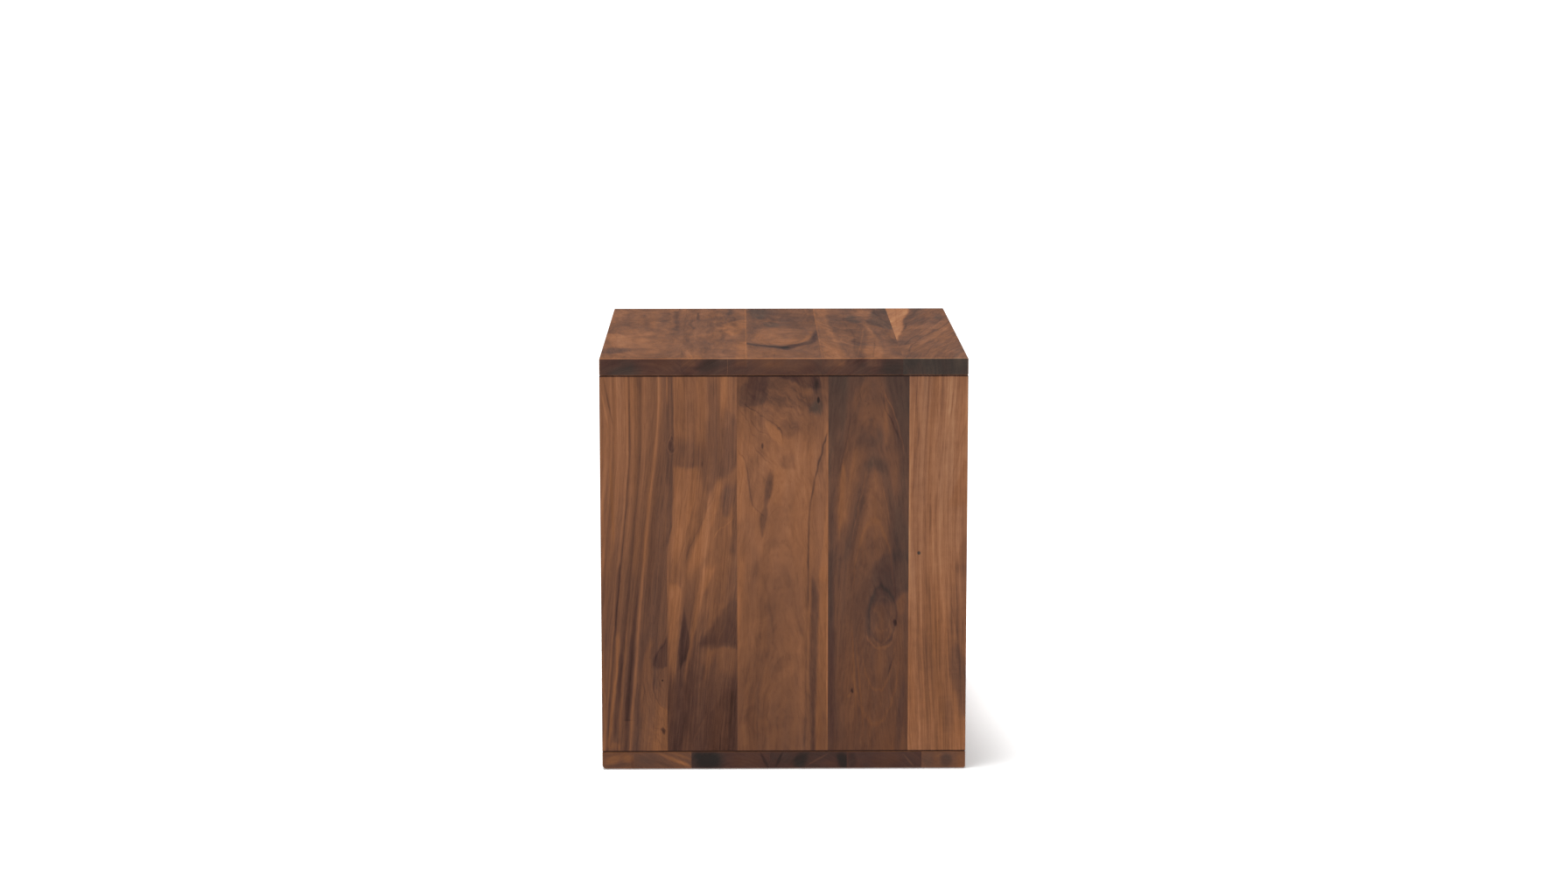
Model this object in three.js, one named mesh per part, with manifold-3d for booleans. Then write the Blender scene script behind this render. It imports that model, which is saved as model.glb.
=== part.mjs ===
// Open-fronted storage cube in edge-glued solid walnut.
//
// Frame: millimetres, +Z up, origin on the floor under the middle of the case.
// X runs across the front, Y runs front (-) to back (+), and the open front faces -Y.
//
// The top and base slabs lap over the two side panels, which stand between them on dowels.
// A thin back panel is screwed into a rabbet round the back edges. Four levelling glides are
// let into the underside: each is a threaded stem that turns in an insert and a pad that
// the stem's head swivels in.

import * as THREE from 'three';
import { mergeVertices } from 'three/addons/utils/BufferGeometryUtils.js';
import Module from 'manifold-3d';

const wasm = await Module();
wasm.setup();

// ---------------------------------------------------------------- driving dimensions

const WIDTH = 457.2;            // outside, along X
const DEPTH = 400.0;            // outside, along Y
const HEIGHT = 457.2;           // floor to top face, along Z
const STOCK = 19.0;             // thickness of every slab and side panel
const FLOOR_GAP = 1.0;          // the pads hold the base this far off the floor
const ARRIS = 1.0;              // eased outer edges of the slabs
const PANEL_ARRIS = 0.7;        // eased edges of the side panels
const BASE_NOSE = 4.0;          // radius on the lower front edge of the base
const GLUE = 0.1;               // thickness of a glue line between staves
const JOINT = 0.1;              // gap between a side panel's end and its slab

// glue lines, measured back from the front edge
const TOP_LINES = [0, 88.2, 159.8, 240.8, 329.1, DEPTH];
const BASE_LINES = [0, 34.6, 98.1, 184.4, 269.3, 351.7, DEPTH];
const RIGHT_LINES = [0, 72.1, 148.8, 248.2, 336.1, DEPTH];
const LEFT_LINES = [0, 66.0, 151.0, 233.0, 318.0, DEPTH];

const BACK_THICK = 6.0;         // back panel
const RABBET = 9.5;             // width of the rabbet that takes it
const BACK_CLEAR = 0.3;         // gap round the back panel

const DOWEL_R = 4.0;
const DOWEL_IN_SLAB = 12.0;
const DOWEL_IN_PANEL = 20.0;
const DOWEL_CLEAR = 0.15;
const DOWEL_LINES = [44.0, 138.0, 280.0, 364.0];   // back from the front edge

const SCREW_R = 1.6;
const SCREW_HEAD_R = 3.5;
const SCREW_LENGTH = 16.0;
const SCREW_CLEAR = 0.15;

const GLIDE_X = 185.0;
const GLIDE_Y = 134.0;
const PAD_R = 11.0;
const PAD_HIGH = 3.5;
const STEM_R = 3.0;             // M6
const STEM_TOP = 17.4;
const HEAD_R = 5.0;
const COLLAR_FLATS = 12.0;
const COLLAR_LOW = 3.8;
const COLLAR_HIGH = 6.3;
const POCKET_R = 12.5;          // counterbore in the base
const POCKET_TOP = 6.6;
const INSERT_R = 4.5;
const INSERT_TOP = 17.6;
const BORE_TOP = 17.9;          // blind end of the insert's bore

// heights that follow from the above
const BASE_LOW = FLOOR_GAP;
const BASE_HIGH = FLOOR_GAP + STOCK;
const TOP_LOW = HEIGHT - STOCK;
const PANEL_LOW = BASE_HIGH + JOINT;
const PANEL_HIGH = TOP_LOW - JOINT;
const FRONT = -DEPTH / 2;
const BACK = DEPTH / 2;
const SIDE_MID = WIDTH / 2 - STOCK / 2;

// ---------------------------------------------------------------- solids and geometries

function solidOf(geometry) {
  const g = geometry.clone();
  g.deleteAttribute('normal');
  g.deleteAttribute('uv');
  const merged = mergeVertices(g, 1e-4);
  return new wasm.Manifold(new wasm.Mesh({
    numProp: 3,
    vertProperties: new Float32Array(merged.attributes.position.array),
    triVerts: new Uint32Array(merged.index.array),
  }));
}

function geometryOf(solid) {
  const mesh = solid.getMesh();
  const count = mesh.vertProperties.length / mesh.numProp;
  const points = new Float32Array(count * 3);
  for (let i = 0; i < count; i++) {
    for (let k = 0; k < 3; k++) points[i * 3 + k] = mesh.vertProperties[i * mesh.numProp + k];
  }
  const g = new THREE.BufferGeometry();
  g.setAttribute('position', new THREE.BufferAttribute(points, 3));
  g.setIndex(new THREE.BufferAttribute(new Uint32Array(mesh.triVerts), 1));
  g.computeVertexNormals();
  return g;
}

function block(x0, x1, y0, y1, z0, z1) {
  const g = new THREE.BoxGeometry(x1 - x0, y1 - y0, z1 - z0);
  g.translate((x0 + x1) / 2, (y0 + y1) / 2, (z0 + z1) / 2);
  return solidOf(g);
}

// A closed outline turned about Z: points are [radius, z], the first and last on the axis or the same point.
function turned(points, sides) {
  const outline = points.map(([r, z]) => new THREE.Vector2(r, z));
  const g = new THREE.LatheGeometry(outline, sides);
  g.rotateX(Math.PI / 2);      // the lathe's axis Y becomes Z
  return g;
}

// A plain rod along Z from z0 to z1, as a cutting tool.
function rod(r, z0, z1, sides) {
  const g = new THREE.CylinderGeometry(r, r, z1 - z0, sides, 1);
  g.rotateX(Math.PI / 2);
  g.translate(0, 0, (z0 + z1) / 2);
  return g;
}

// A rectangle with a cut corner at each of its four corners; a corner may be an arc instead.
// corners are [c00, c10, c11, c01] for (lo,lo) (hi,lo) (hi,hi) (lo,hi), each {cut} or {arc}.
function outline(u0, u1, v0, v1, corners) {
  const shape = new THREE.Shape();
  const at = [
    [u0, v0, 0, 1, 1, 0],
    [u1, v0, -1, 0, 0, 1],
    [u1, v1, 0, -1, -1, 0],
    [u0, v1, 1, 0, 0, -1],
  ];
  at.forEach(([u, v, iu, iv, ou, ov], i) => {
    const c = corners[i];
    const s = c.arc ?? c.cut;
    const a = [u + iu * s, v + iv * s];
    const b = [u + ou * s, v + ov * s];
    if (i === 0) shape.moveTo(a[0], a[1]); else shape.lineTo(a[0], a[1]);
    if (c.arc) {
      const cu = u + (iu + ou) * s, cv = v + (iv + ov) * s;
      for (let k = 1; k < 6; k++) {
        const t = (k / 6) * (Math.PI / 2);
        shape.lineTo(
          cu - ou * s * Math.cos(t) - iu * s * Math.sin(t),
          cv - ov * s * Math.cos(t) - iv * s * Math.sin(t));
      }
    }
    shape.lineTo(b[0], b[1]);
  });
  shape.closePath();
  return shape;
}

// The outline run out along its normal from w0 to w1, with both ends eased by the same small bevel.
function bar(shape, w0, w1, ease) {
  const g = new THREE.ExtrudeGeometry(shape, {
    depth: w1 - w0 - 2 * ease,
    bevelEnabled: true,
    bevelThickness: ease,
    bevelSize: ease,
    bevelOffset: -ease,
    bevelSegments: 1,
    curveSegments: 1,
  });
  g.translate(0, 0, w0 + ease);
  return g;
}

// ---------------------------------------------------------------- finish colours

const GRAIN = { roughness: 0.46, metalness: 0.0 };
const TOP_TONES = ['#7a5a45', '#74543f', '#6d4a37', '#94745a', '#7f5d46'];
const BASE_TONES = ['#8a6144', '#a1764f', '#4b362d', '#563d31', '#4c3831', '#66493a'];
const RIGHT_TONES = ['#8e6245', '#7a5038', '#7c523a', '#5f4032', '#9a6f52'];
const LEFT_TONES = ['#74503a', '#8a6146', '#6b4736', '#815a42', '#5f4335'];
const BEECH = { color: '#c9a77c', roughness: 0.6, metalness: 0.0 };
const STEEL = { color: '#9a9a98', roughness: 0.35, metalness: 1.0 };
const BLACK_STEEL = { color: '#2b2a2a', roughness: 0.45, metalness: 1.0 };
const NYLON = { color: '#232222', roughness: 0.55, metalness: 0.0 };

const unit = new THREE.Group();

function addMesh(parent, name, geometry, finish) {
  const m = new THREE.Mesh(geometry, new THREE.MeshStandardMaterial({ flatShading: true, ...finish }));
  m.name = name;
  parent.add(m);
  return m;
}

// ---------------------------------------------------------------- cutting tools

const dowelBores = [];
for (const side of [-1, 1]) {
  for (const line of DOWEL_LINES) {
    for (const low of [true, false]) {
      const z0 = low ? BASE_HIGH - DOWEL_IN_SLAB : PANEL_HIGH - DOWEL_IN_PANEL;
      const z1 = low ? PANEL_LOW + DOWEL_IN_PANEL : TOP_LOW + DOWEL_IN_SLAB;
      const g = rod(DOWEL_R + DOWEL_CLEAR, z0 - 0.4, z1 + 0.4, 12);
      g.translate(side * SIDE_MID, FRONT + line, 0);
      dowelBores.push(solidOf(g));
    }
  }
}

// rabbet for the back panel: one block that all four members are cut by
const rabbetX = WIDTH / 2 - RABBET;
const rabbetLow = BASE_LOW + RABBET;
const rabbetHigh = HEIGHT - RABBET;
const rabbet = block(-rabbetX, rabbetX, BACK - BACK_THICK - BACK_CLEAR, BACK + 5, rabbetLow, rabbetHigh);

// back-panel screws, in the middle of the rabbet's land
const landX = (rabbetX + WIDTH / 2 - STOCK) / 2;
const landLow = (rabbetLow + BASE_HIGH) / 2;
const landHigh = (rabbetHigh + TOP_LOW) / 2;
const screwSpots = [
  [-landX, 110], [-landX, 346], [landX, 110], [landX, 346],
  [-112, landLow], [112, landLow], [-112, landHigh], [112, landHigh],
];
const screwSeat = BACK - 0.35;   // the screw heads' face, just under the back panel's face
function onBack(g, x, z) {        // from an upright axis with its head at z = 0 to the unit's back
  g.rotateX(-Math.PI / 2);        // +Z becomes +Y
  g.translate(x, screwSeat, z);
  return g;
}
const screwBores = screwSpots.map(([x, z]) => {
  const r = SCREW_R + SCREW_CLEAR, h = SCREW_HEAD_R + SCREW_CLEAR;
  return solidOf(onBack(turned([
    [0, -SCREW_LENGTH - 0.4], [r, -SCREW_LENGTH - 0.4], [r, -(h - r) - 0.35], [h, -0.35], [h, 3], [0, 3],
  ], 12), x, z));
});

// pocket and bore for each glide
const glideSpots = [
  ['front_left', -GLIDE_X, -GLIDE_Y], ['front_right', GLIDE_X, -GLIDE_Y],
  ['rear_left', -GLIDE_X, GLIDE_Y], ['rear_right', GLIDE_X, GLIDE_Y],
];
const glideBores = glideSpots.map(([, x, y]) => {
  const g = turned([
    [0, -3], [POCKET_R, -3], [POCKET_R, POCKET_TOP], [INSERT_R + 0.15, POCKET_TOP],
    [INSERT_R + 0.15, BORE_TOP], [0, BORE_TOP],
  ], 24);
  g.translate(x, y, 0);
  return solidOf(g);
});

function cut(solid, tools) {
  let s = solid;
  const b = s.boundingBox();
  for (const t of tools) {
    const c = t.boundingBox();
    const clear = [0, 1, 2].some((k) => c.min[k] >= b.max[k] || c.max[k] <= b.min[k]);
    if (!clear) s = s.subtract(t);
  }
  return s;
}

// Splits a slab or panel along its glue lines and cuts each stave's bores.
function staves(whole, lines, prefix, tones, tools) {
  for (let i = 0; i + 1 < lines.length; i++) {
    const y0 = i === 0 ? FRONT - 10 : FRONT + lines[i] + GLUE / 2;
    const y1 = i + 2 === lines.length ? BACK + 10 : FRONT + lines[i + 1] - GLUE / 2;
    const slice = block(-WIDTH, WIDTH, y0, y1, -20, HEIGHT + 20);
    const stave = cut(whole.intersect(slice), tools);
    addMesh(unit, `${prefix}_stave_${i + 1}`, geometryOf(stave), { color: tones[i], ...GRAIN });
  }
}

// ---------------------------------------------------------------- top and base slabs
// Each outline lies in the YZ plane and runs out along X.

function slab(z0, z1, corners) {
  const g = bar(outline(FRONT, BACK, z0, z1, corners), -WIDTH / 2, WIDTH / 2, ARRIS);
  // outline (u, v, w) is (Y, Z, X)
  g.applyMatrix4(new THREE.Matrix4().set(
    0, 0, 1, 0,
    1, 0, 0, 0,
    0, 1, 0, 0,
    0, 0, 0, 1));
  return solidOf(g);
}

const eased = { cut: ARRIS };
const topSlab = slab(TOP_LOW, HEIGHT, [eased, eased, eased, eased]);
const baseSlab = slab(BASE_LOW, BASE_HIGH, [{ arc: BASE_NOSE }, { cut: 1.4 }, eased, eased]);

staves(topSlab, TOP_LINES, 'top', TOP_TONES, [...dowelBores, rabbet, ...screwBores]);
staves(baseSlab, BASE_LINES, 'base', BASE_TONES, [...dowelBores, rabbet, ...screwBores, ...glideBores]);

// ---------------------------------------------------------------- side panels
// Each outline lies in the XY plane and runs up along Z.

function sidePanel(side) {
  const x0 = side > 0 ? WIDTH / 2 - STOCK : -WIDTH / 2;
  const c = { cut: PANEL_ARRIS };
  return solidOf(bar(outline(x0, x0 + STOCK, FRONT, BACK, [c, c, c, c]), PANEL_LOW, PANEL_HIGH, PANEL_ARRIS));
}

staves(sidePanel(1), RIGHT_LINES, 'right_side', RIGHT_TONES, [...dowelBores, rabbet, ...screwBores]);
staves(sidePanel(-1), LEFT_LINES, 'left_side', LEFT_TONES, [...dowelBores, rabbet, ...screwBores]);

// ---------------------------------------------------------------- back panel and its screws

const backPanel = cut(
  block(-rabbetX + BACK_CLEAR, rabbetX - BACK_CLEAR, BACK - BACK_THICK, BACK,
    rabbetLow + BACK_CLEAR, rabbetHigh - BACK_CLEAR),
  screwBores);
addMesh(unit, 'back_panel', geometryOf(backPanel), { color: '#6f4f3b', roughness: 0.5, metalness: 0.0 });

screwSpots.forEach(([x, z], i) => {
  const body = solidOf(onBack(turned([
    [0, -SCREW_LENGTH], [0.5, -SCREW_LENGTH + 0.2], [SCREW_R, -SCREW_LENGTH + 3],
    [SCREW_R, -(SCREW_HEAD_R - SCREW_R) - 0.35], [SCREW_HEAD_R, -0.35], [SCREW_HEAD_R, 0], [0, 0],
  ], 12), x, z));
  const y1 = screwSeat + 1, y0 = screwSeat - 1.3;
  const slotA = block(x - 1.9, x + 1.9, y0, y1, z - 0.4, z + 0.4);
  const slotB = block(x - 0.4, x + 0.4, y0, y1, z - 1.9, z + 1.9);
  addMesh(unit, `back_screw_${i + 1}`, geometryOf(body.subtract(slotA.add(slotB))), BLACK_STEEL);
});

// ---------------------------------------------------------------- dowels

for (const [sideName, side] of [['left', -1], ['right', 1]]) {
  DOWEL_LINES.forEach((line, i) => {
    for (const [level, z0, z1] of [
      ['base', BASE_HIGH - DOWEL_IN_SLAB, PANEL_LOW + DOWEL_IN_PANEL],
      ['top', PANEL_HIGH - DOWEL_IN_PANEL, TOP_LOW + DOWEL_IN_SLAB],
    ]) {
      const ease = 0.8;
      const g = turned([
        [0, z0], [DOWEL_R - ease, z0], [DOWEL_R, z0 + ease], [DOWEL_R, z1 - ease], [DOWEL_R - ease, z1], [0, z1],
      ], 12);
      const m = addMesh(unit, `dowel_${level}_${sideName}_${i + 1}`, g, BEECH);
      m.position.set(side * SIDE_MID, FRONT + line, 0);
    }
  });
}

// ---------------------------------------------------------------- levelling glides

for (const [where, x, y] of glideSpots) {
  const glide = new THREE.Group();
  glide.position.set(x, y, 0);
  unit.add(glide);

  // threaded insert, pressed into the base from below
  addMesh(glide, `glide_insert_${where}`, turned([
    [STEM_R + 0.15, POCKET_TOP + 0.3], [STEM_R + 0.45, POCKET_TOP], [INSERT_R - 0.3, POCKET_TOP],
    [INSERT_R, POCKET_TOP + 0.3], [INSERT_R, INSERT_TOP - 0.6], [INSERT_R - 0.6, INSERT_TOP],
    [STEM_R + 0.15, INSERT_TOP], [STEM_R + 0.15, POCKET_TOP + 0.3],
  ], 24), STEEL);

  // stem: a head held in the pad, a hexagonal collar for a spanner, and the screwed shank
  const shank = solidOf(turned([
    [0, 1.4], [HEAD_R - 0.5, 1.4], [HEAD_R, 1.9], [HEAD_R, 2.3], [HEAD_R - 0.4, 2.7], [STEM_R, 2.7],
    [STEM_R, STEM_TOP - 0.7], [STEM_R - 0.7, STEM_TOP], [0, STEM_TOP],
  ], 24));
  const collar = solidOf(rod(COLLAR_FLATS / 2 / Math.cos(Math.PI / 6), COLLAR_LOW, COLLAR_HIGH, 6));
  addMesh(glide, `glide_stem_${where}`, geometryOf(shank.add(collar)), STEEL);

  // pad: a shallow cup whose rim holds the stem's head, and lets it turn
  addMesh(glide, `glide_pad_${where}`, turned([
    [0, 0], [PAD_R - 1.4, 0], [PAD_R - 0.35, 0.5], [PAD_R, 1.2], [PAD_R, 2.4], [PAD_R - 0.8, PAD_HIGH],
    [STEM_R + 0.4, PAD_HIGH], [STEM_R + 0.4, 2.9], [HEAD_R + 0.3, 2.9], [HEAD_R + 0.3, 1.1], [0, 1.1],
  ], 24), NYLON);
}

export default unit;
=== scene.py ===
import math
import random

import bmesh
import bpy
from mathutils import Matrix, Vector


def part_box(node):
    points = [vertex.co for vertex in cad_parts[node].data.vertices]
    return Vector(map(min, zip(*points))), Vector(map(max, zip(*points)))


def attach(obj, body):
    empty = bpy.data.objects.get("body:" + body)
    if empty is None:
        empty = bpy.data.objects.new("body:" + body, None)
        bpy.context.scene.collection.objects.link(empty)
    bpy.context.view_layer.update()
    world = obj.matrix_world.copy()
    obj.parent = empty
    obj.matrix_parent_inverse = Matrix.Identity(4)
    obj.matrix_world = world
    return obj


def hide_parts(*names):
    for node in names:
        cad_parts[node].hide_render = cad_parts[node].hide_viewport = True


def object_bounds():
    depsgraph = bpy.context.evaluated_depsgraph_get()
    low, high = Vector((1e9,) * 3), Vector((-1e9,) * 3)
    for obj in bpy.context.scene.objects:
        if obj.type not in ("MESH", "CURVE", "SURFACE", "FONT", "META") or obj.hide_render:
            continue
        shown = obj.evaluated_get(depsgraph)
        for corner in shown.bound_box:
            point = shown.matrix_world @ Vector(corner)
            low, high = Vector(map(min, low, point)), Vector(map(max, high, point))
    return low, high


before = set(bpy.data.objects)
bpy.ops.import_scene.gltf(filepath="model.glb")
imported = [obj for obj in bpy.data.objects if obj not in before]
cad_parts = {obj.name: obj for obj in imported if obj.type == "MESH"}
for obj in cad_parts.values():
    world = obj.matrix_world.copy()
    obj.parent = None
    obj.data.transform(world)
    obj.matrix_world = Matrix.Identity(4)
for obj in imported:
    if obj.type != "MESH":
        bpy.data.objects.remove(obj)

cad_lo, cad_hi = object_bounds()     # the CAD box, before anything is added
scene = bpy.context.scene

# Lengths are in metres. Wood is described in millimetres in each board's own terms:
#   u  back from the unit's front edge, v  along the grain (up a side, left to right on a slab),
#   w  down into the board from its outer face.
WIDTH = cad_hi.x - cad_lo.x
DEPTH = cad_hi.y - cad_lo.y
HEIGHT = cad_hi.z
FRONT = cad_lo.y
MM = 0.001


# ------------------------------------------------------------------ shader helpers

def lin(c):
    """A colour given as 0-255 display values, as linear light."""
    out = []
    for v in c:
        v = v / 255.0
        out.append(v / 12.92 if v <= 0.04045 else ((v + 0.055) / 1.055) ** 2.4)
    return (*out, 1.0)


def stain(c, gain=1.0, film=0.012):
    """The wood's own colour for a seen colour c: less the film of light that a satin finish adds."""
    return (*(max((v - film) * gain, 0.003) for v in lin(c)[:3]), 1.0)


class Graph:
    """Short names for making shader nodes. Every call returns an output socket."""

    def __init__(self, tree):
        self.t, self.n, self.l = tree, tree.nodes, tree.links
        self.count = 0

    def node(self, kind):
        n = self.n.new(kind)
        n.location = ((self.count % 24) * 190, -(self.count // 24) * 260)
        self.count += 1
        return n

    def put(self, sock, value):
        if isinstance(value, bpy.types.NodeSocket):
            self.l.new(value, sock)
        else:
            sock.default_value = value

    def math(self, op, a, b=None, c=None, clamp=False):
        n = self.node("ShaderNodeMath")
        n.operation, n.use_clamp = op, clamp
        for i, x in enumerate((a, b, c)):
            if x is not None:
                self.put(n.inputs[i], x)
        return n.outputs[0]

    def add(self, a, b):
        return self.math("ADD", a, b)

    def sub(self, a, b):
        return self.math("SUBTRACT", a, b)

    def mul(self, a, b):
        return self.math("MULTIPLY", a, b)

    def mad(self, a, b, c):
        return self.math("MULTIPLY_ADD", a, b, c)

    def vec(self, x, y, z=0.0):
        n = self.node("ShaderNodeCombineXYZ")
        for i, v in enumerate((x, y, z)):
            self.put(n.inputs[i], v)
        return n.outputs[0]

    def split(self, v):
        n = self.node("ShaderNodeSeparateXYZ")
        self.put(n.inputs[0], v)
        return n.outputs

    def vmath(self, op, a, b=None):
        n = self.node("ShaderNodeVectorMath")
        n.operation = op
        self.put(n.inputs[0], a)
        if b is not None:
            self.put(n.inputs[1], b)
        return n.outputs["Value"] if op in ("LENGTH", "DOT_PRODUCT") else n.outputs["Vector"]

    def step(self, x, a, b, lo=0.0, hi=1.0):
        """Smooth step: lo where x is a, hi where x is b."""
        n = self.node("ShaderNodeMapRange")
        n.interpolation_type = "SMOOTHSTEP"
        n.clamp = True
        self.put(n.inputs[0], x)
        for i, v in enumerate((a, b, lo, hi)):
            n.inputs[i + 1].default_value = v
        return n.outputs[0]

    def noise(self, v, scale=1.0, detail=2.0, rough=0.5, dist=0.0):
        n = self.node("ShaderNodeTexNoise")
        n.noise_dimensions = "3D"
        self.put(n.inputs["Vector"], v)
        n.inputs["Scale"].default_value = scale
        n.inputs["Detail"].default_value = detail
        n.inputs["Roughness"].default_value = rough
        n.inputs["Distortion"].default_value = dist
        return n.outputs[0]

    def place(self, v, at, turn, size):
        """v seen from at, turned by turn degrees and divided by size."""
        n = self.node("ShaderNodeMapping")
        n.vector_type = "TEXTURE"
        self.put(n.inputs[0], v)
        n.inputs["Location"].default_value = (*at, 0.0)
        n.inputs["Rotation"].default_value = (0.0, 0.0, math.radians(turn))
        n.inputs["Scale"].default_value = (*size, 1e6)
        return n.outputs[0]

    def blob(self, v, at, size, turn=0.0, soft=0.6, fray=None):
        """1 inside an ellipse and 0 outside it, its edge frayed by a streak field."""
        d = self.vmath("LENGTH", self.place(v, at, turn, size))
        if fray is not None:
            d = self.add(d, fray)
        return self.step(d, 1.0 + soft * 0.5, max(1.0 - soft, 0.0))

    def arc(self, v, at, size, turn, width, way):
        """A thin line round an ellipse: its upper end for way 1, its lower end for way -1, all of it for way 0."""
        q = self.place(v, at, turn, size)
        d = self.vmath("LENGTH", q)
        m = self.step(self.math("ABSOLUTE", self.sub(d, 1.0)), width, 0.0)
        if way:
            m = self.mul(m, self.step(self.split(q)[1], 0.05 * way, 0.55 * way))
        return m

    def ramp(self, fac, stops, how="LINEAR"):
        n = self.node("ShaderNodeValToRGB")
        r = n.color_ramp
        r.interpolation = how
        while len(r.elements) < len(stops):
            r.elements.new(0.5)
        for e, (p, c) in zip(r.elements, stops):
            e.position, e.color = p, c
        self.put(n.inputs[0], fac)
        return n.outputs[0]

    def table(self, x, rows, span, columns=1, unit=1.0, how="CARDINAL"):
        """A curve through rows of (x, a, b, ...), as one socket for each column. Values are in -unit..unit."""
        lo, hi = span
        fac = self.mad(x, 1.0 / (hi - lo), -lo / (hi - lo))
        stops = []
        for r in sorted(rows):
            c = [0.5 + 0.5 * (r[1 + i] if i + 1 < len(r) else 0.0) / unit for i in range(columns)]
            stops.append(((r[0] - lo) / (hi - lo), (*c, *[0.5] * (3 - columns), 1.0)))
        out = self.node("ShaderNodeSeparateColor")
        self.put(out.inputs[0], self.ramp(fac, stops, how))
        return [self.mad(out.outputs[i], 2.0 * unit, -unit) for i in range(columns)]

    def mix(self, fac, a, b, how="MIX"):
        n = self.node("ShaderNodeMix")
        n.data_type, n.blend_type = "RGBA", how
        n.clamp_factor = True
        self.put(n.inputs[0], fac)
        self.put(n.inputs[6], a)
        self.put(n.inputs[7], b)
        return n.outputs[2]

    def bump(self, height, distance, strength=1.0):
        n = self.node("ShaderNodeBump")
        n.inputs["Strength"].default_value = strength
        n.inputs["Distance"].default_value = distance
        self.put(n.inputs["Height"], height)
        return n.outputs[0]


def material(name):
    m = bpy.data.materials.new(name)
    m.use_nodes = True
    nt = m.node_tree
    p = next(n for n in nt.nodes if n.type == "BSDF_PRINCIPLED")
    return m, Graph(nt), p


# ------------------------------------------------------------------ walnut

# seen colours from dark to light: grey-brown, purplish heartwood, and golden wood
GREY = [(0.00, (46, 41, 39)), (0.15, (62, 54, 50)), (0.30, (78, 66, 58)), (0.50, (108, 88, 74)), (0.75, (148, 120, 100)), (1.00, (184, 154, 128))]
COOL = [(0.00, (56, 39, 35)), (0.15, (75, 52, 46)), (0.30, (91, 65, 54)), (0.45, (113, 78, 61)), (0.60, (134, 92, 69)), (0.75, (151, 107, 80)), (0.90, (165, 122, 92)), (1.00, (186, 142, 110))]
WARM = [(0.00, (60, 39, 30)), (0.15, (81, 53, 41)), (0.30, (101, 66, 48)), (0.45, (120, 79, 54)), (0.60, (139, 91, 61)), (0.75, (156, 104, 71)), (0.90, (170, 119, 83)), (1.00, (194, 142, 98))]


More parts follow.
